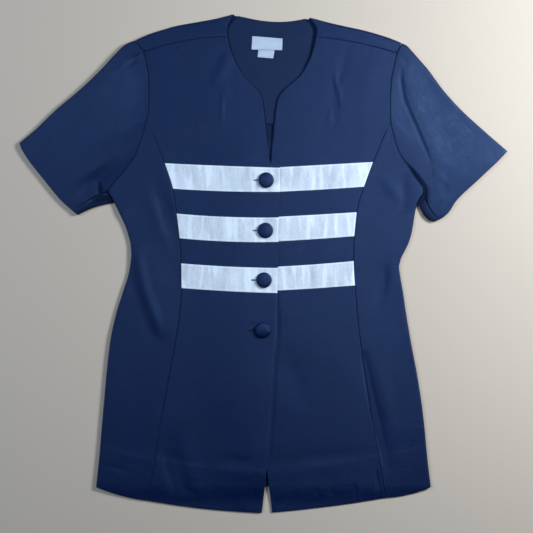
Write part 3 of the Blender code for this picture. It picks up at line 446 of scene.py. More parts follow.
class BlazerFolds(bpy.types.PropertyGroup):
    """How far the cloth departs from its plain solids."""

    crease: bpy.props.FloatProperty(
        name="Creases", description="Depth of the fine creases, as a share of that in the table",
        subtype="FACTOR", min=0.0, max=2.0, default=1.4)
    swell: bpy.props.FloatProperty(
        name="Swell", description="Height of the soft unevenness of the cloth", unit="LENGTH",
        min=0.0, max=0.002, default=0.00045)
    pucker: bpy.props.FloatProperty(
        name="Puckers", description="Height of the puckers along the seams", unit="LENGTH",
        min=0.0, max=0.002, default=0.0002)
    band_pucker: bpy.props.FloatProperty(
        name="Band puckers", description="Height of the puckers across the bands", unit="LENGTH",
        min=0.0, max=0.002, default=0.0006)
    seam_depth: bpy.props.FloatProperty(
        name="Seam depth", description="How far the cloth turns down at a seam or an edge",
        unit="LENGTH", min=0.0, max=0.0012, default=0.00036)
    seam_reach: bpy.props.FloatProperty(
        name="Seam reach", description="How far from a seam the cloth starts to turn down",
        unit="LENGTH", min=0.0005, max=0.01, default=0.0015)


class BlazerStage(bpy.types.PropertyGroup):
    """The floor, the lights and the camera."""

    floor: bpy.props.FloatVectorProperty(
        name="Floor", description="Colour of the floor", subtype="COLOR",
        default=(0.46, 0.445, 0.42), **CHANNELS)
    view_width: bpy.props.FloatProperty(
        name="View", description="Width of the floor that the picture shows", unit="LENGTH",
        min=0.1, max=5.0, default=0.77285)
    view_height: bpy.props.FloatProperty(
        name="Camera height", description="Height of the camera over the cloth", unit="LENGTH",
        min=0.2, max=5.0, default=1.5)
    key: bpy.props.FloatProperty(
        name="Key light", description="Strength of the large light", unit="POWER",
        min=0.0, max=500.0, default=24.0)
    fill: bpy.props.FloatProperty(
        name="Fill light", description="Strength of the light from the other side", unit="POWER",
        min=0.0, max=500.0, default=24.0)
    sky: bpy.props.FloatProperty(
        name="Sky", description="Strength of the light from all round", min=0.0, max=5.0,
        default=0.025)


# Curves and heights


def soft_step(start, end, value):
    """A soft step from 0 at the start to 1 at the end, also where the end is the lower one."""
    share = np.clip((value - start) / (end - start), 0.0, 1.0)
    return share * share * (3.0 - 2.0 * share)


def columns_of(rows, names):
    """The named columns of a table."""
    return np.array([[getattr(row, name) for name in names.split()] for row in rows], float)


def between(first, last, leaving, arriving, part):
    """A smooth way from the first values to the last, with the slopes at both."""
    way = (1 + 2 * part) * (1 - part) ** 2 * first + part * part * (3 - 2 * part) * last
    return way + part * (1 - part) ** 2 * leaving + part * part * (part - 1) * arriving


def flowing(values, places):
    """A table's values at row numbers between its rows, rounded with no bulge past them."""
    steps = np.diff(values, axis=0)
    slopes = np.zeros_like(values)
    before, after = steps[:-1], steps[1:]
    agree = before * after > 0
    slopes[1:-1] = np.where(agree, 2 * before * after / np.where(agree, before + after, 1.0), 0.0)
    slopes[0], slopes[-1] = steps[0], steps[-1]
    index = np.clip(np.floor(places).astype(int), 0, len(values) - 2)
    part = (places - index)[:, None]
    return between(values[index], values[index + 1], slopes[index], slopes[index + 1], part)


def lengths_along(line):
    """How far along a line each of its points is."""
    steps = np.linalg.norm(np.diff(line, axis=0), axis=-1)
    return np.concatenate([np.zeros((1, *steps.shape[1:])), np.cumsum(steps, axis=0)])


def track(points, shares):
    """Points at shares of the length of a smooth curve through the given points."""
    knots = np.array(points, float)
    steps = np.sqrt(np.linalg.norm(np.diff(knots, axis=0), axis=1))
    times = np.concatenate([[0.0], np.cumsum(steps)])
    slopes = np.gradient(knots, times, axis=0)
    fine = np.linspace(0.0, times[-1], 161)
    index = np.clip(np.searchsorted(times, fine) - 1, 0, len(times) - 2)
    span = (times[index + 1] - times[index])[:, None]
    part = (fine - times[index])[:, None] / span
    line = between(knots[index], knots[index + 1], span * slopes[index], span * slopes[index + 1], part)
    lengths = lengths_along(line)
    target = np.asarray(shares, float) * lengths[-1]
    return np.stack([np.interp(target, lengths, line[:, axis]) for axis in (0, 1)], axis=-1)


def beside(points, x, y):
    """The nearest place on a smooth line, as a share of its length, and how far to its right."""
    line = track(points, np.linspace(0.0, 1.0, 25))
    step = np.diff(line, axis=0)
    reach_x = np.asarray(x)[..., None] - line[:-1, 0]
    reach_y = np.asarray(y)[..., None] - line[:-1, 1]
    part = (reach_x * step[:, 0] + reach_y * step[:, 1]) / (step**2).sum(axis=-1)
    part = np.clip(part, 0.0, 1.0)
    distance = np.hypot(reach_x - part * step[:, 0], reach_y - part * step[:, 1])
    nearest = distance.argmin(axis=-1)[..., None]
    distance = distance * np.sign(reach_x * step[:, 1] - reach_y * step[:, 0])
    part, distance = (np.take_along_axis(item, nearest, -1)[..., 0] for item in (part, distance))
    return (nearest[..., 0] + part) / len(step), distance


def by_line(row, x, y):
    """A straight crease's length, the share of it that each place is at, and how far to its right."""
    run_x, run_y = row.to_x - row.from_x, row.to_y - row.from_y
    far_x, far_y = x - row.from_x, y - row.from_y
    length = math.hypot(run_x, run_y)
    return length, (far_x * run_x + far_y * run_y) / length**2, (far_x * run_y - far_y * run_x) / length


def across(crease, aside):
    """The lift across a crease, where its lean makes one side steep."""
    aside = aside / crease.width
    return crease.lift * np.exp(-(aside**2)) * (1.0 + LEAN * crease.lean * aside)


def folded(x, y):
    """The lift of the largest folds at each place: they go on softly past their ends."""
    lift = np.zeros(np.shape(x))
    for fold in FOLDS:
        length, share, aside = by_line(fold, x, y)
        past = share - np.clip(share, 0.0, 1.0)
        distance = np.hypot(aside, past * length)
        fade = 1.0 - 0.5 * (2.0 * (share - past) - 1.0) ** 2
        lift += fold.lift * fade * np.exp(-((distance / fold.width) ** 2))
    return lift


def creased(x, y):
    """The lift of the fine creases at each place: they fade at both ends."""
    lift = np.zeros(np.shape(x))
    for crease in CREASES:
        _, share, aside = by_line(crease, x, y)
        lift += np.clip(1.0 - (2.0 * share - 1.0) ** 2, 0.0, 1.0) * across(crease, aside)
    for bend in BENDS:
        share, aside = beside(bend.line, x, y)
        lift += soft_step(0.0, 0.22, share) * soft_step(1.0, 0.72, share) * across(bend, aside)
    return lift * bpy.context.scene.blazer_folds.crease


def pocketed(x, y):
    """How far the pockets sink at each place, and how far it is from the middle of the painted shade in
    them.
    """
    lift, far = np.zeros(np.shape(x)), np.full(np.shape(x), FAR)
    for pocket in POCKETS:
        share, aside = beside(pocket.line, x, y)
        near = (aside / (pocket.width * (0.25 + 0.75 * soft_step(0.0, 0.5, share)))) ** 2
        lift += pocket.lift * soft_step(0.0, 0.4, share) * np.exp(-near)
        far = np.minimum(far, 1.4 * near)
    return lift, far


def uneven(x, y, hollow, seed):
    """Soft noise from about -1 to 1, with hollows of this size."""
    x, y = np.broadcast_arrays(x, y)
    flat = [noise.noise(Vector((a / hollow, b / hollow, seed))) for a, b in zip(x.ravel(), y.ravel())]
    return np.array(flat).reshape(x.shape)


def settled(x, y):
    """The lift of everything that keeps the cloth from lying smooth."""
    swells = sum(share * uneven(x, y, hollow, seed) for hollow, seed, share in SWELLS)
    return folded(x, y) + creased(x, y) + bpy.context.scene.blazer_folds.swell / MM * swells


def lie(x, y):
    """The height of the outside of the upper layer, over the back and its facing."""
    height = (REST_HEIGHT + FACING_RAISE * soft_step(*FACING_SLOPE, y)
              + SHOULDER_RAISE * soft_step(*SHOULDER_SLOPE, y) - HEM_DROP * soft_step(*HEM_SLOPE, y))
    return np.maximum(height + settled(x, y), np.minimum(height, 2 * CLOTH + GAP))


def lap(x, y):
    """How far the right front is lifted by the left front and its bands beneath it."""
    edge = columns_of(FRONT_LEFT[: LAST_SIDE + 1], "edge_y edge_x")
    under = np.interp(y, *edge.T)
    ends = soft_step(*LAP_START, y) * soft_step(*LAP_END, y)
    return LAP_RAISE * ends * soft_step(under - LAP_SLOPE, under - 3.0, x)


def top_of(x, y, right):
    """The height of the outside of a front."""
    return lie(x, y) + (lap(x, y) if right else 0.0)


def turned_down(*distances):
    """How far the cloth turns down close to its seams and edges."""
    folds = bpy.context.scene.blazer_folds
    near = 1.0 - np.clip(functools.reduce(np.minimum, distances) * MM / folds.seam_reach, 0.0, 1.0)
    return -folds.seam_depth / MM * near * near


def puckered(along, distance, seed):
    """Small puckers that run out from a seam."""
    waves = uneven(along, 0.0, 7.0, seed) + 0.6 * uneven(along, distance, 16.0, seed + 5)
    return bpy.context.scene.blazer_folds.pucker / MM * waves * np.exp(-distance / 11.0)


def stepped(run, depth, height):
    """The low step over a hem that is turned in this deep."""
    return height * soft_step(depth + 2.0, depth - 2.0, run)


def spread(widths, count, start=True, end=True):
    """Where columns stand across each width, as shares: closer together by its sewn edges."""
    widths = np.atleast_1d(widths)
    close = np.array(EDGE_STEPS)
    first = close / widths[:, None] if start else np.zeros((len(widths), 1))
    last = 1 - close[::-1] / widths[:, None] if end else np.ones((len(widths), 1))
    middle = np.linspace(first[:, -1], last[:, 0], count, axis=1)[:, 1:-1]
    return np.concatenate([first, middle, last], axis=1)


def row_places(knots):
    """Row numbers, whole ones and between, so that rows stand about a step apart, or closer at
    both ends."""
    lengths = np.linalg.norm(np.diff(knots, axis=0), axis=1)
    places = {0.0}
    for index, length in enumerate(lengths):
        count = max(1, round(length / ROW_STEP))
        places |= {round(index + step / count, 6) for step in range(1, count + 1)}
    last, close = float(len(lengths)), EDGE_STEPS[1:]
    places = {place for place in places if not 0 < place < close[-1] / lengths[0]}
    places |= {round(step / lengths[0], 6) for step in close}
    places = {place for place in places if not last - close[-1] / lengths[-1] < place < last}
    places |= {round(last - step / lengths[-1], 6) for step in close}
    return np.array(sorted(places))


# Making cloth


class Sheet:
    """A fine grid of cloth: its points, where each lies on the flat cloth, and how far it is from its seams
    and from its edges.
    The finishes paint shade where these are short, and in places they are made short only to paint shade."""

    def __init__(self, points, flat, seam, edge, turned):
        self.points, self.flat, self.turned = points, flat, turned
        self.layers = {name: np.broadcast_to(far, points.shape[:2])
                       for name, far in (("seam", seam), ("edge", edge))}

    def lay(self, shape):
        """Adds the grid to a mesh, and gives its vertices row by row."""
        rows, columns = self.points.shape[:2]
        for name in self.layers:
            layer_of(shape, name)
        cloth_map = shape.loops.layers.uv.verify()
        verts = bmesh.ops.create_grid(shape, x_segments=columns - 1, y_segments=rows - 1, size=0.5)["verts"]
        for name, values in self.layers.items():
            layer = layer_of(shape, name)
            for vert, value in zip(verts, values.ravel()):
                vert[layer] = value
        flat = {}
        for vert, place, on_cloth in zip(verts, self.points.reshape(-1, 3), self.flat.reshape(-1, 2) * MM):
            vert.co = Vector(place) * MM
            flat[vert] = on_cloth
        faces = {face for vert in verts for face in vert.link_faces}
        for face in faces:
            face.smooth = True
            for loop in face.loops:
                loop[cloth_map].uv = flat[loop.vert]
        if self.turned:
            bmesh.ops.reverse_faces(shape, faces=list(faces))
        return verts


def layer_of(shape, name):
    """The layer of numbers of this name on the vertices of a mesh."""
    return shape.verts.layers.float.get(name) or shape.verts.layers.float.new(name)


def placed(name, mesh, finish):
    """An object of this mesh in the scene, with its finish."""
    mesh.name = name
    mesh.materials.clear()
    mesh.materials.append(finish_called(finish))
    made = bpy.data.objects.new(name, mesh)
    bpy.context.scene.collection.objects.link(made)
    return made


def piece_of(name, shape, finish, slot, *nodes, wall=0.0):
    """A finished piece from a mesh of its outside, thickened inwards by its wall."""
    for edge in shape.edges:
        if edge.is_boundary:
            edge.smooth = False
    mesh = bpy.data.meshes.new(name)
    shape.to_mesh(mesh)
    shape.free()
    made = placed(name, mesh, finish)
    if wall:
        thick = made.modifiers.new("cloth", "SOLIDIFY")
        thick.thickness = wall * MM
        thick.offset = -1.0
        thick.use_even_offset = False
        thick.use_quality_normals = True
    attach(made, "root")
    if nodes:
        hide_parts(*nodes)
        stays_in_place(made, nodes)
    return made


def stays_in_place(made, nodes):
    """Stops if a piece lies further from the box of its solids than cloth may."""
    boxes = np.array([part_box(node) for node in nodes])
    places = np.array([vert.co for vert in made.data.vertices])
    off = max(np.abs(places.min(axis=0) - boxes[:, 0].min(axis=0)).max(),
              np.abs(places.max(axis=0) - boxes[:, 1].max(axis=0)).max())
    if off > OFF_THE_SOLID * MM:
        raise RuntimeError(f"{made.name} is {off / MM:.1f} mm off its solid")


def sheet_of(node, shape, finish, slot, wall, *rests_on, name=None):
    """The cloth in the place of a node. The pieces that it lies on are not used."""
    made = piece_of(name or f"{node}_cloth", shape, finish, slot, node, wall=wall)


# Fronts


def centre_rows(side, below, above):
    """The named columns of the sections and of the yoke of one side, one after the other."""
    return np.concatenate([columns_of(side.sections, below), columns_of(side.yokes, above)])


def centre_sheet(side, places, band=False):
    """A centre panel, or a band on it, at these rows: from its outer seam to its edge."""
    outer = flowing(centre_rows(side, "seam_x seam_y", "arm_x arm_y"), places)
    inner = flowing(centre_rows(side, "edge_x edge_y", "edge_x edge_y"), places)
    bow = flowing(centre_rows(side, "bow", "bow"), places)
    widths = np.linalg.norm(inner - outer, axis=1)
    shares = spread(widths, CENTRE_COLUMNS)
    plan = (1 - shares)[..., None] * outer[:, None] + shares[..., None] * inner[:, None]
    plan[..., 1] += 4 * bow * shares * (1 - shares)
    x, y = plan[..., 0], plan[..., 1]
    from_seam, from_edge = shares * widths[:, None], (1 - shares) * widths[:, None]
    run = lengths_along(plan)
    to_top = run[-1] - run
    z = top_of(x, y, side.right)
    if band:
        ends = np.minimum(run, to_top)
        seed = float(places[0])
        waves = uneven(x, 0.25 * y, 13.0, 40.0 + seed) + 0.4 * uneven(x, 0.3 * y, 6.0, 60.0 + seed)
        z = z + GAP + BAND_CLOTH + bpy.context.scene.blazer_folds.band_pucker / MM * waves
        z = z + turned_down(ends, from_seam, from_edge)
        seam, edge = ends, np.minimum(from_seam, from_edge)
    else:
        z = z + puckered(y, from_seam, 21.0) + stepped(run, HEM_DEPTH, HEM_LAYER)
        z = z + turned_down(from_seam, from_edge, run, to_top)
        # Below the notch the front edge is kept out of the painted shade, so the edge lightening shows along
        # it as a painted highlight
        inside = from_edge + 0.9 * soft_step(150.0, 140.0, y) * (from_edge > 0.01)
        seam, edge = np.minimum(from_seam, to_top + SEAM_SHADE), np.minimum(inside, run)
    return Sheet(np.dstack([x, y, z]), plan, seam, edge, not side.right)


def centre_places(side):
    """The rows of a whole centre panel."""
    return row_places(centre_rows(side, "seam_x seam_y", "arm_x arm_y"))


def panel_edges(side, places):
    """The side fold and the princess seam of a side panel."""
    return [flowing(columns_of(side.sections, names), places)
            for names in ("side_x side_y", "seam_x seam_y")]


def side_plan(side, places, shares):
    """The plan of a side panel, from its fold at 0 to the princess seam at 1."""
    fold, seam = panel_edges(side, places)
    part = shares[..., None]
    tip, top = np.array(side.armhole)[[0, -1]]
    curve = track(side.armhole, shares) - ((1 - part) * tip + part * top)
    bend = soft_step(8, ARMHOLE_ROW, places)[:, None, None]
    plan = (1 - part) * fold[:, None] + part * seam[:, None] + bend * curve
    plan[..., 1] -= 12.0 * shares * (1 - shares) * np.clip(1 - places, 0.0, 1.0)[:, None]
    return plan


def panel_widths(side, places):
    """How wide a side panel is at these rows."""
    fold, seam = panel_edges(side, places)
    return np.linalg.norm(seam - fold, axis=1)


def side_sheet(side, places):
    """A side panel: round its fold, then over to the princess seam."""
    widths = panel_widths(side, places)
    start = (ROLL_DEPTH / widths)[:, None]
    over = spread(widths - ROLL_DEPTH - GAP, SIDE_COLUMNS, start=False)
    plan = side_plan(side, places, start + (1 - start - GAP / widths[:, None]) * over)
    x, y = plan[..., 0], plan[..., 1]
    from_seam = (1 - over) * widths[:, None]
    run = lengths_along(plan)
    to_top = run[-1] - run
    z = lie(x, y) + SIDE_RAISE * (1 - over) ** 3 + puckered(y, from_seam, 31.0)
    z = z + stepped(run, HEM_DEPTH, HEM_LAYER) + turned_down(from_seam, run, to_top)
    rolled = side_plan(side, places, start * ROLL_INWARD)
    middle = 0.5 * (z[:, :1] + GAP)
    level = middle + (z[:, :1] - middle) * ROLL_UP
    points = np.concatenate([np.dstack([rolled, level]), np.dstack([x, y, z])], axis=1)
    outward = -1.0 if side.right else 1.0
    flat = np.dstack([x[:, :1] + outward * ROLL_LEFT, np.broadcast_to(y[:, :1], level.shape)])
    from_side = np.concatenate([np.broadcast_to(ROLL_DEPTH * ROLL, level.shape),
                                ROLL_DEPTH * math.pi / 2 + over * widths[:, None]], axis=1)
    from_seam, to_top, run = (np.concatenate([np.broadcast_to(row, level.shape), far], axis=1)
                              for row, far in ((FAR, from_seam), (to_top[:, :1], to_top), (run[:, :1], run)))
    seam = functools.reduce(np.minimum, (from_side, from_seam, to_top))
    return Sheet(points, np.concatenate([flat, plan], axis=1), seam, run, not side.right)


def side_places(side):
    """The rows of a whole side panel."""
    return row_places(columns_of(side.sections, "seam_x seam_y"))


def open_slit(shape, button):
    """Cuts the slit of a buttonhole through a sheet."""
    half = 0.5 * SLIT
    start, end = button.x - button.hole, button.x + SLIT_PAST
    cuts = ((start, button.y, (1.0, 0.0, 0.0)), (end, button.y, (1.0, 0.0, 0.0)),
            (start, button.y - half, (0.0, 1.0, 0.0)), (start, button.y + half, (0.0, 1.0, 0.0)))
    for x, y, side in cuts:
        near = [face for face in shape.faces if close_to(face, start - 4.0, end + 4.0, button.y, 4.0)]
        edges = {edge for face in near for edge in face.edges}
        verts = {vert for face in near for vert in face.verts}
        bmesh.ops.bisect_plane(shape, geom=near + list(edges) + list(verts), dist=1e-7,
                               plane_co=(x * MM, y * MM, 0.0), plane_no=side)
    inside = [face for face in shape.faces if close_to(face, start, end, button.y, half)]
    bmesh.ops.delete(shape, geom=inside, context="FACES")


def close_to(face, start, end, middle, reach):
    """Whether a face's middle lies in a box in plan."""
    centre = face.calc_center_median() / MM
    return start < centre.x < end and abs(centre.y - middle) < reach


# Back, facing and labels


def shoulder_lines(side, shares):
    """A shoulder from the armhole at 0 to the neckline at 1: its fold, the way to its forward
    seam, the radius of the fold and the line where its roll ends."""
    shares = np.asarray(shares, float)
    fold = track(side.shoulder, shares)
    fold[:, 1] -= 1.1 * soft_step(0.94, 1.0, shares) ** 2
    row = side.yokes[-1]
    seam = np.outer(1 - shares, (row.arm_x, row.arm_y)) + np.outer(shares, (row.edge_x, row.edge_y))
    seam[:, 1] += 4 * row.bow * shares * (1 - shares)
    reach = seam - fold
    inward = reach / np.linalg.norm(reach, axis=1)[:, None]
    radius = SHOULDER_ROLL * (1.0 - 0.8 * soft_step(0.80, 1.0, shares))
    return fold, reach, radius, fold + inward * radius[:, None]


def shoulder_grid(side, shares, steps):
    """A shoulder from under its fold to the forward seam: its points, how far the cloth has still
    to turn at each, and its height where the roll ends."""
    fold, reach, radius, edge = shoulder_lines(side, shares)
    length = np.linalg.norm(reach, axis=1)
    inward = reach / length[:, None]
    top = lie(edge[:, 0], edge[:, 1])
    bow = (-4.6 if side.right else 5.0) * shares**3
    points, bends = [], []
    for turn in np.radians(SHOULDER_TURNS):
        plan = fold + inward * (radius * (1 - math.cos(turn)))[:, None]
        points.append(np.column_stack([plan, 0.5 * top * (1 + math.sin(turn))]))
        bends.append(np.full(len(shares), SHOULDER_ROLL * (math.pi / 2 - turn)))
    for share in steps:
        plan = (1 - share) * edge + share * (fold + reach - inward * GAP)
        plan[:, 0] += 4 * bow * share * (1 - share)
        level = lie(plan[:, 0], plan[:, 1]) + turned_down((1 - share) * (length - radius))
        points.append(np.column_stack([plan, level]))
        bends.append(-share * (length - radius))
    return np.array(points), np.array(bends), top


def shoulder_sheet(side, shares):
    """The back where it turns over a shoulder."""
    points, bend, top = shoulder_grid(side, shares, spread(STRIP_SPAN, STRIP_ROWS, start=False)[0][1:])
    edge = shoulder_lines(side, shares)[-1]
    flat = np.dstack([points[..., 0], edge[:, 1] + bend])
    neck, arm = (np.broadcast_to(share * NECK_SPAN, bend.shape) for share in (1 - shares, shares))
    points[..., 2] += turned_down(neck, arm) * np.clip(points[..., 2] / top - 0.5, 0.0, 0.5) * 2
    seam = np.minimum(bend - bend[-1] + SEAM_SHADE, arm)
    if not side.right:
        points, flat, seam, neck = (part[:, ::-1] for part in (points, flat, seam, neck))
    return Sheet(points, flat, seam, neck, True)


def back_sheet(shares_of_thirds):
    """The flat part of the back with both side folds, its columns at shares of each third."""
    first, middle, last = shares_of_thirds
    (right_end, _), (left_end, _) = SHOULDER_RIGHT[0], SHOULDER_LEFT[0]
    start, end = ((point[0] - right_end) / (left_end - right_end) for point in (NECKLINE[0], NECKLINE[-1]))
    shares = np.concatenate([first * start, start + middle[1:] * (end - start), end + last[1:] * (1 - end)])
    tops = np.concatenate([shoulder_lines(SIDES[0], first)[-1], track(NECKLINE, middle)[1:-1],
                           shoulder_lines(SIDES[1], 1 - last)[-1]])
    rims = [np.concatenate([columns_of(side.sections[: LAST_SIDE + 1], "side_x side_y"),
                            np.array(side.back_arm), top])
            for side, top in zip(SIDES, (tops[:1], tops[-1:]))]
    count = float(len(rims[0]) - 1)
    places = row_places(rims[0])
    places = places[(places * 2 % 1 == 0) | (places < 0.2) | (places > count - 0.2) | (places > 20)]
    inset = (ROLL_DEPTH * np.clip(1 - (places - LAST_SIDE), 0.0, 1.0))[:, None] * (1.0, 0.0)
    right, left = (flowing(rims[0], places) + inset)[:, None], (flowing(rims[1], places) - inset)[:, None]
    rise = soft_step(LAST_SIDE - 3, count, places)[:, None, None]
    part = shares[:, None]
    plan = (1 - part) * right + part * left + rise * (tops - ((1 - part) * tops[0] + part * tops[-1]))
    points = np.dstack([plan, np.zeros(plan.shape[:2])])
    flat = plan.copy()
    rows = np.minimum(places, LAST_SIDE)
    for side, rim, inward in zip(SIDES, rims, (1.0, -1.0)):
        rim = flowing(rim, places)
        at = side_plan(side, rows, (ROLL_DEPTH / panel_widths(side, rows))[:, None])[:, 0]
        level = 0.5 * (lie(at[:, 0], at[:, 1]) + SIDE_RAISE - GAP)
        z = level[:, None] * (1 - ROLL_UP)
        y = np.broadcast_to(rim[:, 1:], z.shape)
        roll = np.dstack([rim[:, :1] + inward * ROLL_DEPTH * ROLL_INWARD, y, z])
        foot = points[:, :1, 0] if side.right else points[:, -1:, 0]
        roll_flat = np.dstack([foot - inward * ROLL_LEFT, y])
        if side.right:
            points, flat = np.concatenate([roll, points], axis=1), np.concatenate([roll_flat, flat], axis=1)
        else:
            points = np.concatenate([points, roll[:, ::-1]], axis=1)
            flat = np.concatenate([flat, roll_flat[:, ::-1]], axis=1)
    run = lengths_along(points[..., :2])
    x, y = points[..., 0], points[..., 1]
    # Painted shade on the back inside the V of the neckline, below the facing, carried in the seam distance
    opening_shade = soft_step(-40.0, -12.0, x) * soft_step(56.0, 32.0, x) * soft_step(120.0, 150.0, y)
    return Sheet(points, flat, FAR - (FAR - 0.5) * opening_shade, np.minimum(run, run[-1] - run), True), places


def back_shape():
    """The whole back: its flat part, both side folds and both shoulders."""
    ends = (spread(SHOULDER_SPAN, SHOULDER_COLUMNS, start=False)[0], np.linspace(0.0, 1.0, NECK_COLUMNS),
            spread(SHOULDER_SPAN, SHOULDER_COLUMNS, end=False)[0])
    sheet, places = back_sheet(ends)
    shape = bmesh.new()
    verts = sheet.lay(shape)
    columns, count = sheet.points.shape[1], len(ROLL_TURNS)
    beyond = [vert for row, place in enumerate(places) if place > LAST_SIDE
              for vert in verts[row * columns: row * columns + count]
              + verts[(row + 1) * columns - count: (row + 1) * columns]]
    bmesh.ops.delete(shape, geom=beyond, context="VERTS")
    shoulder_sheet(SIDES[0], ends[0]).lay(shape)
    shoulder_sheet(SIDES[1], 1 - ends[2][::-1]).lay(shape)
    bmesh.ops.remove_doubles(shape, verts=shape.verts, dist=2e-5)
    return shape


def facing_top(x, y):
    """The height of the top of the facing inside the back neck."""
    ripples = 0.35 * (1 + uneven(x, y, 38.0, 71.0)) * soft_step(198.0, 214.0, y)
    return CLOTH + GAP + FACING_CLOTH + ripples


def facing_sheet():
    """The facing, lying on the inside of the back below the neckline, with a painted shadow beside the right
    front's neck edge.
    """
    rows = columns_of(FACING, "left_x left_y right_x right_y bow")
    shares = spread(FACING_SPAN, FACING_COLUMNS)[0]
    part = shares[:, None]
    top = track(NECKLINE, 0.06 + 0.88 * shares) - (0.0, GAP)
    places = row_places(np.concatenate([rows[:, :2], top[:1]]))
    last = len(FACING) - 1
    values = flowing(rows, places[places <= last])[:, None]
    plan = (1 - part) * values[..., :2] + part * values[..., 2:4]
    plan[..., 1] += 4 * values[..., 4] * shares * (1 - shares)
    rest = (places[places > last] - last)[:, None, None]
    plan = np.concatenate([plan, (1 - rest) * plan[-1:] + rest * top[None]])
    x, y = plan[..., 0], plan[..., 1]
    run = lengths_along(plan)
    edge = np.minimum(run, run[-1] - run)
    z = facing_top(x, y) + turned_down(edge) * 0.6
    # Painted shadow: a dark line on the facing beside the right front's neck edge, carried in the seam
    # distance
    neckline = columns_of(FRONT_RIGHT[-3:] + YOKE_RIGHT, "edge_x edge_y")
    shade = 0.5 * np.minimum(np.abs(beside(neckline, x, y)[1]), run)
    return Sheet(np.dstack([x, y, z]), plan, shade, edge, False)


def patch_sheet(corners, curl):
    """A small patch of label cloth on the facing, with its loose corners a little up."""
    corners = np.array(corners)
    width, length = np.linalg.norm(corners[1] - corners[0]), np.linalg.norm(corners[3] - corners[0])
    over, up = spread(width, 24), spread(length, 12).T
    low, high = ((1 - over.T) * start + over.T * end for start, end in (corners[:2], corners[:1:-1]))
    plan = (1 - up[..., None]) * low + up[..., None] * high
    x, y = plan[..., 0], plan[..., 1]
    side, ends = np.minimum(over, 1 - over) * width, np.minimum(up, 1 - up) * length
    rise = curl * np.exp(-(side / 3.4)) * (1 - up) ** 2 + 0.12 * uneven(x, y, 9.0, 81.0)
    z = facing_top(x, y) + GAP + LABEL_CLOTH + np.maximum(rise, -0.15) + 0.35 * turned_down(side, ends)
    flat = np.dstack(np.broadcast_arrays(over * width, up * length))
    return Sheet(np.dstack([x, y, z]), flat, side, ends, False)


def label_stitches():
    """Short stitches down both ends of the neck label."""
    corners = np.array(LABEL)
    shape = bmesh.new()
    for low, high, inward in ((corners[0], corners[3], 1.3), (corners[1], corners[2], -1.3)):
        for part in np.linspace(0.08, 0.92, 7):
            x, y = (1 - part) * low + part * high + (inward, 0.0)
            verts = bmesh.ops.create_uvsphere(shape, u_segments=10, v_segments=6, radius=1.0)["verts"]
            bmesh.ops.scale(shape, verts=verts, vec=(0.30 * MM, 0.85 * MM, 0.22 * MM))
            level = float(facing_top(x, y)) + GAP + LABEL_CLOTH + 0.12
            bmesh.ops.translate(shape, verts=verts, vec=(x * MM, y * MM, level * MM))
    for face in shape.faces:
        face.smooth = True
    return shape


# Sleeves


def armhole_ring(side):
    """The closed edge that a sleeve is sewn to, point by point, with where each lies on a sleeve.

    It starts under the shoulder fold, goes round the fold, down the front armhole and round its
    tip, then round the side fold and back up the armhole of the back.
    """
    rows, panel_rows = centre_places(side), side_places(side)
    centre, panel = centre_sheet(side, rows).points, side_sheet(side, panel_rows).points
    steps = np.linspace(0.0, 1.0, STRIP_ROWS + 1)[1:]
    shoulder = shoulder_grid(side, np.zeros(1), steps)[0][:, 0]
    turns = len(SHOULDER_TURNS)
    front = np.concatenate([shoulder[turns - 1: -1], centre[rows > ARMHOLE_ROW + 0.01, 0][::-1],
                            panel[-1, ::-1], panel[:-1][panel_rows[:-1] >= LAST_SIDE - 0.01, 0][::-1]])
    corner = front[-1]
    back_arm = np.array(side.back_arm)
    inward = back_arm[0] - corner[:2]
    inward *= ROLL_DEPTH / np.linalg.norm(inward)
    rows = np.linspace(0.0, len(back_arm) - 1, BACK_ARM_STEPS)
    back = np.concatenate([[corner[:2] + inward], flowing(back_arm, rows)])
    back = np.column_stack([back, np.zeros(len(back))])
    start = ROLL_DEPTH / SLEEVE_WIDTH
    ring = []
    for turn, point in zip(np.radians(SHOULDER_TURNS[:-1]), shoulder):
        ring.append(Rim(point, start * (1 - math.cos(turn)), 1.0 if turn > 0 else -1.0, "shoulder"))
    for point, share in zip(front, shares_of(front)):
        ring.append(Rim(point, start + (1 - start) * share, 1.0, "front"))
    for depth, height in zip(ROLL_INWARD[1:], ROLL_UP[1:]):
        point = (*(corner[:2] + inward * depth), corner[2] * (1 - height))
        ring.append(Rim(point, 1 - start * depth, -1.0, "under"))
    for point, share in zip(back, shares_of(np.concatenate([back, shoulder[:1]]))):
        ring.append(Rim(point, 1 - start - (1 - 2 * start) * share, -1.0, "back"))
    return ring


def shares_of(points):
    """The share of the way along a line at each of its points, seen from above."""
    lengths = lengths_along(points[:, :2])
    return lengths / lengths[-1]


def sewn_edge(ring, side):
    """The armhole's edge moved into the sleeve by the seam's gap."""
    places = np.array([rim.point for rim in ring])
    moved = places.copy()
    fold = track(side.top, [0.9, 1.0])
    for index, rim in enumerate(ring):
        ahead = places[(index + 1) % len(ring)] - places[index - 1]
        away = np.array([ahead[1], -ahead[0]]) * (1.0 if side.right else -1.0)
        away *= 1.0 if rim.part == "front" else -1.0
        if rim.part == "shoulder":
            away = fold[0] - fold[1]
        if rim.part == "under" or np.linalg.norm(away) < 0.05:
            away = np.array([-1.0 if side.right else 1.0, 0.0])
        near = max(float(soft_step(0.8, 0.95, rim.share)), 0.5 if rim.part == "shoulder" else 0.0)
        moved[index, :2] += away / np.linalg.norm(away) * (GAP + (UNDERARM_GAP - GAP) * near)
    return moved


def off_straight(line, part):
    """How far a line is off the straight way between its ends, at a share of its length."""
    start, place, end = track(line, [0.0, part, 1.0])
    return place - (1 - part) * start - part * end


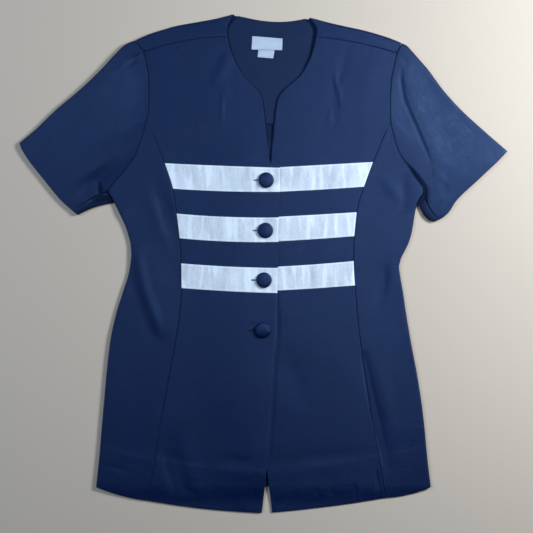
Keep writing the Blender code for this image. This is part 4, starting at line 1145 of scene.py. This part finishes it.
def sleeve_sheet(side, ring):
    """A sleeve: its sections pass from the hem to the armhole's edge, flat beneath."""
    share = np.array([rim.share for rim in ring])
    layer = np.array([rim.layer for rim in ring])
    depth = np.minimum(share, 1 - share) * SLEEVE_WIDTH / ROLL_DEPTH
    turned = layer * np.sqrt(np.maximum(0.0, 1 - (1 - np.minimum(1.0, depth)) ** 2))
    half, up = 0.5 * (1 + turned), np.maximum(0.0, turned)
    inside = up**3 * soft_step(0.0, 11.0, depth * ROLL_DEPTH)
    arm = sewn_edge(ring, side)
    hem = np.column_stack([track(side.cuff, share), CUFF_HEIGHT * half])
    parts = spread(SLEEVE_LENGTH, SLEEVE_ROWS)[0]
    rows = []
    for part in parts:
        row = (1 - part) * hem + part * arm
        row[:, :2] += np.outer(1 - share, off_straight(side.top, part))
        row[:, :2] += np.outer(share, off_straight(side.underarm, part))
        from_cuff, from_seam = part * SLEEVE_LENGTH, (1 - part) * SLEEVE_LENGTH
        level = row[:, 2] + SLEEVE_RAISE * math.sin(math.pi * part) * half
        level += settled(row[:, 0], row[:, 1]) * inside * min(1.0, from_seam / 6.0)
        level += (turned_down(from_cuff, from_seam) + stepped(from_cuff, CUFF_DEPTH, CUFF_LAYER)) * up
        level += puckered(share * SLEEVE_WIDTH, from_seam, 51.0) * up**3
        level += pocketed(row[:, 0], row[:, 1])[0] * half
        row[:, 2] = np.maximum(level, 2 * (CLOTH + 0.15) * half)
        rows.append(row)
    points = np.array(rows)
    points = np.concatenate([points, points[:, :1]], axis=1)
    around = layer * share * SLEEVE_WIDTH
    around = np.append(around, 2 * around[0] - around[1])
    from_cuff = (parts * SLEEVE_LENGTH)[:, None]
    flat = np.dstack(np.broadcast_arrays(around, from_cuff))
    # Painted shade: the seam distance is made short towards the underarm fold and deep in the pockets, so
    # the finish darkens the cloth there
    under = 0.2 + 0.06 * (1 - np.append(share, share[0])) * SLEEVE_WIDTH
    dark = pocketed(points[..., 0], points[..., 1])[1]
    seam = functools.reduce(np.minimum, (SLEEVE_LENGTH - from_cuff, under, dark))
    return Sheet(points, flat, seam, from_cuff, not side.right)


# Buttons and their buttonholes


def height_at(x, y, right, cover):
    """The height of the cloth at one place, with what covers it."""
    return float(top_of(x, y, right)) + cover


def cover_at(number):
    """How thick the band is that lies on the fronts at a button, with its gap."""
    return GAP + BAND_CLOTH if number <= len(BANDS) else 0.0


def button_shape(number, button):
    """A covered dome button on its shank, spun from its section, with the cover gathered beneath."""
    cover = cover_at(number)
    turns = np.linspace(0.0, 2 * math.pi, 25)
    x, y = button.x + BUTTON_RADIUS * np.cos(turns), button.y + BUTTON_RADIUS * np.sin(turns)
    seat = float(top_of(x, y, True).max()) + cover + GAP
    foot = height_at(button.x, button.y, False, cover + GAP)
    section = [(0.0, foot), (SHANK_RADIUS, foot), (SHANK_RADIUS, seat + 0.3)]
    section += [(share * BUTTON_RADIUS, seat + rise) for share, rise in DOME]
    shape = bmesh.new()
    verts = [shape.verts.new((radius * MM, 0.0, level * MM)) for radius, level in section]
    edges = [shape.edges.new(pair) for pair in zip(verts, verts[1:])]
    bmesh.ops.spin(shape, geom=verts + edges, cent=(0.0, 0.0, 0.0), axis=(0.0, 0.0, 1.0),
                   angle=2 * math.pi, steps=BUTTON_SPIN, use_merge=True)
    bmesh.ops.remove_doubles(shape, verts=shape.verts, dist=1e-6)
    bmesh.ops.recalc_face_normals(shape, faces=shape.faces)
    for vert in shape.verts:
        radius, level = vert.co.xy.length / MM, vert.co.z / MM - seat
        low = max(0.0, 1 - abs(level - 0.6) / 1.1) if radius > 0.6 * BUTTON_RADIUS else 0.0
        turn = math.atan2(vert.co.y, vert.co.x)
        vert.co.xy *= 1 + 0.010 * low * math.cos(24 * turn) + 0.004 * math.sin(3 * turn + button.y)
    bmesh.ops.translate(shape, verts=shape.verts, vec=(button.x * MM, button.y * MM, 0.0))
    cloth_map = shape.loops.layers.uv.verify()
    for name in ("edge", "seam"):
        layer = layer_of(shape, name)
        for vert in shape.verts:
            vert[layer] = FAR
    turned = Matrix.Rotation(math.radians(8.0 + 19.0 * (button.y % 3)), 2)
    centre = Vector((button.x, button.y)) * MM
    for face in shape.faces:
        face.smooth = True
        for loop in face.loops:
            loop[cloth_map].uv = turned @ (loop.vert.co.xy - centre)
    return shape


def slit_thread(number, button):
    """The thread sewn round a buttonhole, with a bar at its outer end."""
    start, end, reach = button.x - button.hole, button.x + SLIT_PAST, 0.5 * SLIT + 0.8 * THREAD
    cover = cover_at(number)
    path = []
    for first, last, outward in ((start, end, 1.0), (end, start, -1.0)):
        path += [(x, button.y - outward * reach) for x in np.linspace(first, last, 14)]
        path += [(last + outward * reach * math.cos(turn), button.y + outward * reach * math.sin(turn))
                 for turn in np.linspace(-1.2, 1.2, 5)]
    bar = [(start - reach, button.y + y) for y in (-1.1, 0.0, 1.1)]
    curve = bpy.data.curves.new(f"buttonhole_{number}_path", "CURVE")
    curve.dimensions = "3D"
    curve.bevel_depth = THREAD * MM
    curve.bevel_resolution = 3
    for places, rise, closed in ((path, 0.05, True), (bar, 0.12, False)):
        line = curve.splines.new("POLY")
        line.points.add(len(places) - 1)
        line.use_cyclic_u = closed
        for point, (x, y) in zip(line.points, places):
            point.co = (x * MM, y * MM, (height_at(x, y, True, cover) + rise) * MM, 1.0)
    drawn = bpy.data.objects.new("drawn", curve)
    bpy.context.scene.collection.objects.link(drawn)
    bpy.context.view_layer.update()
    mesh = bpy.data.meshes.new_from_object(drawn.evaluated_get(bpy.context.evaluated_depsgraph_get()))
    bpy.data.objects.remove(drawn, do_unlink=True)
    bpy.data.curves.remove(curve)
    for face in mesh.polygons:
        face.use_smooth = True
    made = placed(f"buttonhole_thread_{number}", mesh, "navy_thread")
    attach(made, "root")


# Finishes


class Reading:
    """A number that changes over a surface, so that sums on it are written as sums."""

    def __init__(self, finish, socket):
        self.finish, self.socket = finish, socket

    def __add__(self, other):
        return self.finish.sum("ADD", self, other)

    def __sub__(self, other):
        return self.finish.sum("SUBTRACT", self, other)

    def __rsub__(self, other):
        return self.finish.sum("SUBTRACT", other, self)

    def __mul__(self, other):
        return self.finish.sum("MULTIPLY", self, other)

    def __truediv__(self, other):
        return self.finish.sum("DIVIDE", self, other)

    __radd__, __rmul__ = __add__, __mul__


class Finish:
    """A material: its nodes, and the sockets of its shader."""

    def __init__(self, name, roughness, specular, tint=(1.0, 1.0, 1.0)):
        self.material = bpy.data.materials.new(name)
        self.material.use_nodes = True
        self.tree = self.material.node_tree
        self.sockets = self.tree.nodes["Principled BSDF"].inputs
        self.sockets["Roughness"].default_value = roughness
        self.sockets["Specular IOR Level"].default_value = specular
        self.sockets["Specular Tint"].default_value = (*tint, 1.0)

    def add(self, kind, settings, sockets):
        """A node of this kind, its settings first and then its sockets: readings, links or values."""
        node = self.tree.nodes.new(kind)
        for name, value in settings.items():
            setattr(node, name, value)
        for name, value in sockets.items():
            self.join(node.inputs[name], value)
        return node

    def join(self, socket, value):
        """Links a reading or a socket, or sets a plain value."""
        if isinstance(value, Reading):
            value = value.socket
        if isinstance(value, bpy.types.NodeSocket):
            self.tree.links.new(value, socket)
        else:
            socket.default_value = value

    def sum(self, operation, first, second=0.0):
        """A Math node on two numbers."""
        node = self.add("ShaderNodeMath", {"operation": operation}, {0: first, 1: second})
        return Reading(self, node.outputs[0])

    def wave(self, value):
        """A wave from -1 to 1 along a reading, one for each whole number."""
        return self.sum("SINE", value * (2 * math.pi))

    def layer(self, name):
        """A number kept on the vertices."""
        return Reading(self, self.add("ShaderNodeAttribute", {"attribute_name": name}, {}).outputs["Fac"])

    def apart(self, place):
        """The first two numbers of a place, in metres."""
        node = self.add("ShaderNodeSeparateXYZ", {}, {0: place})
        return Reading(self, node.outputs[0]), Reading(self, node.outputs[1])

    def flat(self):
        """The place on the flat cloth."""
        return self.apart(self.add("ShaderNodeUVMap", {}, {}).outputs[0])

    def seen(self):
        """The place on the jacket or the floor, from above."""
        return self.apart(self.add("ShaderNodeTexCoord", {}, {}).outputs["Object"])

    def speckle(self, x, y, wide, high, detail=2.0):
        """Noise about 0, with grains this wide and this high, in metres."""
        spot = self.add("ShaderNodeCombineXYZ", {}, {0: x / wide, 1: y / high}).outputs[0]
        found = self.add("ShaderNodeTexNoise", {"noise_dimensions": "2D"},
                         {"Vector": spot, "Scale": 1.0, "Detail": detail, "Roughness": 0.55})
        return Reading(self, found.outputs[0]) - 0.5

    def within(self, value, start, end):
        """A soft step from 0 at the start to 1 at the end."""
        found = self.add("ShaderNodeMapRange", {"interpolation_type": "SMOOTHSTEP"},
                         {0: value, 1: start, 2: end, 3: 0.0, 4: 1.0})
        return Reading(self, found.outputs[0])

    def weave(self, x, y):
        """The steep lines of the twill and the finer ones along the weft."""
        twill = bpy.context.scene.blazer_cloth.twill
        fine = self.speckle(x, y, 0.0011, 0.0006)
        lines = self.wave((x * 0.86 + y * 0.51) / twill + fine * 0.6)
        return lines, self.wave(y / (twill * 0.62) + fine * 0.8)

    def done(self, share, colour, dark, light, height=None, depth=0.0, roughness=None):
        """The material: its colour mixed from dark to light by a share, its bump and its roughness."""
        ends = [(*[min(1.0, channel * shade) for channel in colour], 1.0) for shade in (dark, light)]
        mix = self.add("ShaderNodeMix", {"data_type": "RGBA"}, {0: share, 6: ends[0], 7: ends[1]})
        self.join(self.sockets["Base Color"], mix.outputs[2])
        if roughness:
            self.join(self.sockets["Roughness"], roughness)
        if height:
            bump = self.add("ShaderNodeBump", {}, {"Strength": 1.0, "Distance": depth, "Height": height})
            self.join(self.sockets["Normal"], bump.outputs[0])
        return self.material


def woven(name):
    """Gabardine: steep twill lines, slubs along the weft, soft mottling, edges lightened where worn and by a
    painted highlight, and painted shade in seams, folds and under edges.
    """
    cloth, weave = bpy.context.scene.blazer_cloth, WEAVES[name]
    finish = Finish(name, weave.roughness, CLOTH_MIRROR, tuple(cloth.glow))
    x, y = finish.flat()
    twill, weft = finish.weave(x, y)
    slub = finish.speckle(x, y, 0.0150, 0.0015, 3.0)
    warp = finish.speckle(x, y, 0.0017, 0.0180, 3.0)
    cloud = finish.speckle(x, y, 0.060, 0.075, 3.0)
    seam, edge = finish.layer("seam"), finish.layer("edge")
    # Worn edges and a painted highlight: the colour is lighter close to an edge
    rub_and_highlight = 1 - finish.within(edge, 0.8, 2.6)
    # Painted shade: the colour darkens where a seam or an edge is near, and wherever the seam distance is
    # made short to paint shade
    painted_shade = 1 - finish.within(finish.sum("MINIMUM", seam, edge), 0.1, 1.0)
    share = 0.5 + twill * 0.07 + weft * 0.04 + slub * (1.2 * weave.mottle) + warp * (0.9 * weave.mottle)
    share = share + cloud * (1.1 * weave.mottle) + rub_and_highlight * weave.wear - painted_shade * 0.5
    return finish.done(share, getattr(cloth, weave.colour), 0.30, 1.70,
                       twill * 0.5 + weft * 0.3 + slub * 0.9 + warp * 0.6, cloth.weave_depth,
                       weave.roughness + slub * 0.5 + warp * 0.4 + painted_shade * 0.5)


def band_cloth(name):
    """The white bands: the same weave, with their sewn edges, a soft bloom of the layer below, the light and
    shade of their puckers painted into the colour, and painted shade along their upper and lower edges.
    """
    cloth = bpy.context.scene.blazer_cloth
    finish = Finish(name, 0.62, 0.4)
    x, y = finish.flat()
    twill, weft = finish.weave(x, y)
    # Pucker noise: a bump, and in the colour the painted light and shade of the puckers
    pleat = finish.speckle(x, y, 0.0150, 0.0500)
    # Painted highlight: lighter stripes along the tops of the puckers, in the colour only
    painted_ridge_light = finish.within(finish.speckle(x, y + x * 0.6, 0.0085, 0.0700, 0.0), 0.06, 0.22)
    grain = finish.speckle(x, y, 0.0018, 0.0060)
    cloud = finish.speckle(x, y, 0.030, 0.050)
    edge = finish.layer("seam")
    hem = 1 - finish.within(edge, 1.8, 2.8)
    # Painted shade: darker along the band's upper and lower edges
    painted_shade = 1 - finish.within(edge, 0.0, 0.9)
    ends = 1 - finish.within(finish.layer("edge"), 2.0, 3.2)
    on_line = (1 - finish.within(edge, 1.3, 1.7)) * finish.within(edge, 0.8, 1.2)
    stitch = finish.within(finish.wave(x / 0.0026), -0.2, 0.5) * on_line
    share = 0.5 + twill * 0.05 + weft * 0.03 + pleat * 1.1 + painted_ridge_light * 0.5 + grain * 0.8 + cloud * 0.6
    share = share + hem * 0.36 + ends * 0.18 - painted_shade * 0.5 - stitch * 0.12
    return finish.done(share, cloth.white, 0.74, 1.22,
                       twill * 0.4 + weft * 0.25 + hem * 1.6 - stitch * 1.8 + pleat * 1.5,
                       cloth.weave_depth, 0.62 + pleat * 0.1)


def label_satin(name):
    """Woven satin label: fine weft ribs, a closer border and sewn ends."""
    cloth = bpy.context.scene.blazer_cloth
    finish = Finish(name, 0.42, 0.5)
    x, y = finish.flat()
    rib, thread = finish.wave(y / 0.00045), finish.wave(x / 0.0007)
    cloud = finish.speckle(x, y, 0.012, 0.006)
    side, end = finish.layer("seam"), finish.layer("edge")
    border = finish.within(end, 0.9, 1.2) * (1 - finish.within(end, 1.5, 1.8))
    selvedge = 1 - finish.within(side, 0.0, 1.0)
    share = 0.5 + rib * 0.08 + thread * 0.04 + cloud * 0.5 - border * 0.22 - selvedge * 0.12
    return finish.done(share, cloth.label, 0.80, 1.15, rib * 0.5 + thread * 0.3 - border * 0.8,
                       cloth.weave_depth)


def twisted_thread(name):
    """Sewing thread, twisted and laid side by side over the edge of the slit."""
    finish = Finish(name, 0.75, 0.3)
    x, y = finish.seen()
    wrap = finish.wave(x / 0.00055 + y / 0.0021)
    share = 0.5 + wrap * 0.35 + finish.speckle(x, y, 0.0009, 0.0009) * 0.5
    return finish.done(share, THREADS[name], 0.62, 1.30, wrap, 0.00012)


def plain_floor(name):
    """A plain pale floor, faintly uneven."""
    finish = Finish(name, 0.9, 0.2)
    x, y = finish.seen()
    share = 0.5 + finish.speckle(x, y, 0.30, 0.30, 3.0) * 0.3 + finish.speckle(x, y, 0.002, 0.002) * 0.1
    return finish.done(share, bpy.context.scene.blazer_stage.floor, 0.96, 1.04)


MAKERS = {**dict.fromkeys(WEAVES, woven), **dict.fromkeys(THREADS, twisted_thread),
          "white_weave": band_cloth, "label_satin": label_satin, "floor": plain_floor}


def finish_called(name):
    """The finish of this name, made the first time that it is asked for."""
    return bpy.data.materials.get(name) or MAKERS[name](name)


# Operators


class BLAZER_OT_stage(bpy.types.Operator):
    """Set up the floor, the lights and the camera straight above"""

    bl_idname = "blazer.stage"
    bl_label = "Stage"

    def execute(self, context):
        scene, stage = context.scene, context.scene.blazer_stage
        shape = bmesh.new()
        bmesh.ops.create_grid(shape, x_segments=2, y_segments=2, size=4.0)
        bmesh.ops.translate(shape, verts=shape.verts, vec=(0.0, 0.0, -0.0004))
        mesh = bpy.data.meshes.new("floor")
        shape.to_mesh(mesh)
        shape.free()
        placed("floor", mesh, "floor")
        add_light("key_light", (1.00, 0.45, 0.80), (0.25, 0.20, 0.0), 0.40, stage.key, (1.0, 0.97, 0.93))
        add_light("fill_light", (-1.3, 0.5, 1.7), (0.0, 0.0, 0.0), 1.2, stage.fill, SKY_TINT)
        scene.world = bpy.data.worlds.new("sky")
        scene.world.use_nodes = True
        sky = scene.world.node_tree.nodes["Background"].inputs
        sky["Color"].default_value = (*SKY_TINT, 1.0)
        sky["Strength"].default_value = stage.sky
        scene.view_settings.view_transform = "Standard"
        lens = bpy.data.cameras.new("camera")
        lens.lens = lens.sensor_width * stage.view_height / stage.view_width
        scene.camera = bpy.data.objects.new("camera", lens)
        scene.camera.location = (0.0045, -0.0041, stage.view_height + 0.005)
        scene.collection.objects.link(scene.camera)
        return {"FINISHED"}


def add_light(name, place, aim, size, power, tint):
    """A square light that points at a place."""
    lamp = bpy.data.lights.new(name, "AREA")
    lamp.size, lamp.energy, lamp.color = size, power, tint
    held = bpy.data.objects.new(name, lamp)
    held.location = place
    held.rotation_euler = (Vector(aim) - Vector(place)).to_track_quat("-Z", "Y").to_euler()
    bpy.context.scene.collection.objects.link(held)


class BLAZER_OT_back(bpy.types.Operator):
    """Make the back, over both shoulders and round both side folds"""

    bl_idname = "blazer.back"
    bl_label = "Back"

    def execute(self, context):
        sheet_of("back", back_shape(), "navy_weave", "navy_cloth", CLOTH)
        return {"FINISHED"}


class BLAZER_OT_facing(bpy.types.Operator):
    """Make the facing inside the back neck"""

    bl_idname = "blazer.facing"
    bl_label = "Neck facing"

    def execute(self, context):
        shape = bmesh.new()
        facing_sheet().lay(shape)
        sheet_of("back_neck_facing", shape, "facing_weave", "navy_facing", FACING_CLOTH, "back_cloth",
                 name="facing_cloth")
        return {"FINISHED"}


class BLAZER_OT_labels(bpy.types.Operator):
    """Make the bare neck label and the bare care tab, with the stitches that hold them"""

    bl_idname = "blazer.labels"
    bl_label = "Labels"

    def execute(self, context):
        for name, node, corners, curl in (("label_cloth", "neck_label", LABEL, 0.5),
                                          ("tab_cloth", "care_tab", CARE_TAB, 0.3)):
            shape = bmesh.new()
            patch_sheet(corners, curl).lay(shape)
            sheet_of(node, shape, "label_satin", "label_cloth", LABEL_WALL, "facing_cloth", name=name)
        piece_of("label_stitches", label_stitches(), "white_thread", "label_cloth")
        return {"FINISHED"}


class BLAZER_OT_fronts(bpy.types.Operator):
    """Make the four front panels, with the buttonholes cut through the right one"""

    bl_idname = "blazer.fronts"
    bl_label = "Fronts"

    def execute(self, context):
        for side in SIDES:
            shape = bmesh.new()
            centre_sheet(side, centre_places(side)).lay(shape)
            for button in BUTTONS if side.right else ():
                open_slit(shape, button)
            sheet_of(f"front_{side.word}_centre", shape, "navy_weave", "navy_cloth", CLOTH,
                     "back_cloth", "facing_cloth")
            shape = bmesh.new()
            side_sheet(side, side_places(side)).lay(shape)
            sheet_of(f"front_{side.word}_side", shape, "navy_weave", "navy_cloth", CLOTH, "back_cloth")
        return {"FINISHED"}


class BLAZER_OT_sleeves(bpy.types.Operator):
    """Make both sleeves, as tubes from the cuff to the armhole"""

    bl_idname = "blazer.sleeves"
    bl_label = "Sleeves"

    def execute(self, context):
        folds = context.scene.blazer_folds
        for side in SIDES:
            # a sleeve is sewn to the armhole as it lies before its edge turns down
            depth, folds.seam_depth = folds.seam_depth, 0.0
            ring = armhole_ring(side)
            folds.seam_depth = depth
            shape = bmesh.new()
            sleeve_sheet(side, ring).lay(shape)
            bmesh.ops.remove_doubles(shape, verts=shape.verts, dist=1e-6)
            sheet_of(f"sleeve_{side.word}", shape, "navy_weave", "navy_cloth", CLOTH)
        return {"FINISHED"}


class BLAZER_OT_bands(bpy.types.Operator):
    """Make the six white bands on the fronts"""

    bl_idname = "blazer.bands"
    bl_label = "Bands"

    def execute(self, context):
        for side in SIDES:
            names = [row.place for row in side.sections]
            knots = columns_of(side.sections, "seam_x seam_y")
            for band in BANDS:
                first, last = names.index(band.lower), names.index(band.upper)
                shape = bmesh.new()
                centre_sheet(side, first + row_places(knots[first: last + 1]), band=True).lay(shape)
                if side.right:
                    open_slit(shape, BUTTONS[band.number - 1])
                sheet_of(f"band_{side.word}_{band.number}", shape, "white_weave", "white_cloth",
                         BAND_CLOTH, f"front_{side.word}_centre_cloth")
        return {"FINISHED"}


class BLAZER_OT_buttons(bpy.types.Operator):
    """Make the four covered buttons and the thread of their buttonholes"""

    bl_idname = "blazer.buttons"
    bl_label = "Buttons"

    def execute(self, context):
        for number, button in enumerate(BUTTONS, 1):
            piece_of(f"button_{number}_cover", button_shape(number, button), "cover_weave",
                     "button_cover", f"button_{number}")
            slit_thread(number, button)
        return {"FINISHED"}


OPERATORS = (BLAZER_OT_stage, BLAZER_OT_back, BLAZER_OT_facing, BLAZER_OT_labels, BLAZER_OT_fronts,
             BLAZER_OT_sleeves, BLAZER_OT_bands, BLAZER_OT_buttons)
GROUPS = {"blazer_cloth": BlazerCloth, "blazer_folds": BlazerFolds, "blazer_stage": BlazerStage}


class BLAZER_PT_make(bpy.types.Panel):
    """Lists the operators in the sidebar"""

    bl_idname = "BLAZER_PT_make"
    bl_label = "Blazer"
    bl_space_type = "VIEW_3D"
    bl_region_type = "UI"
    bl_category = "Blazer"

    def draw(self, context):
        """Shows the settings and one button for each operator."""
        for name, group in GROUPS.items():
            box = self.layout.box()
            for key in group.__annotations__:
                box.prop(getattr(context.scene, name), key)
        for operator in OPERATORS:
            self.layout.operator(operator.bl_idname)


def register():
    """Adds the settings, the operators and the panel to Blender."""
    for item in (*GROUPS.values(), *OPERATORS, BLAZER_PT_make):
        bpy.utils.register_class(item)
    for name, group in GROUPS.items():
        setattr(bpy.types.Scene, name, bpy.props.PointerProperty(type=group))


def unregister():
    """Takes them out again."""
    for name in GROUPS:
        delattr(bpy.types.Scene, name)
    for item in (BLAZER_PT_make, *reversed(OPERATORS), *reversed(GROUPS.values())):
        bpy.utils.unregister_class(item)


def main():
    """Makes everything in order."""
    register()
    for operator in OPERATORS:
        family, word = operator.bl_idname.split(".")
        getattr(getattr(bpy.ops, family), word)()


if __name__ == "__main__":
    main()
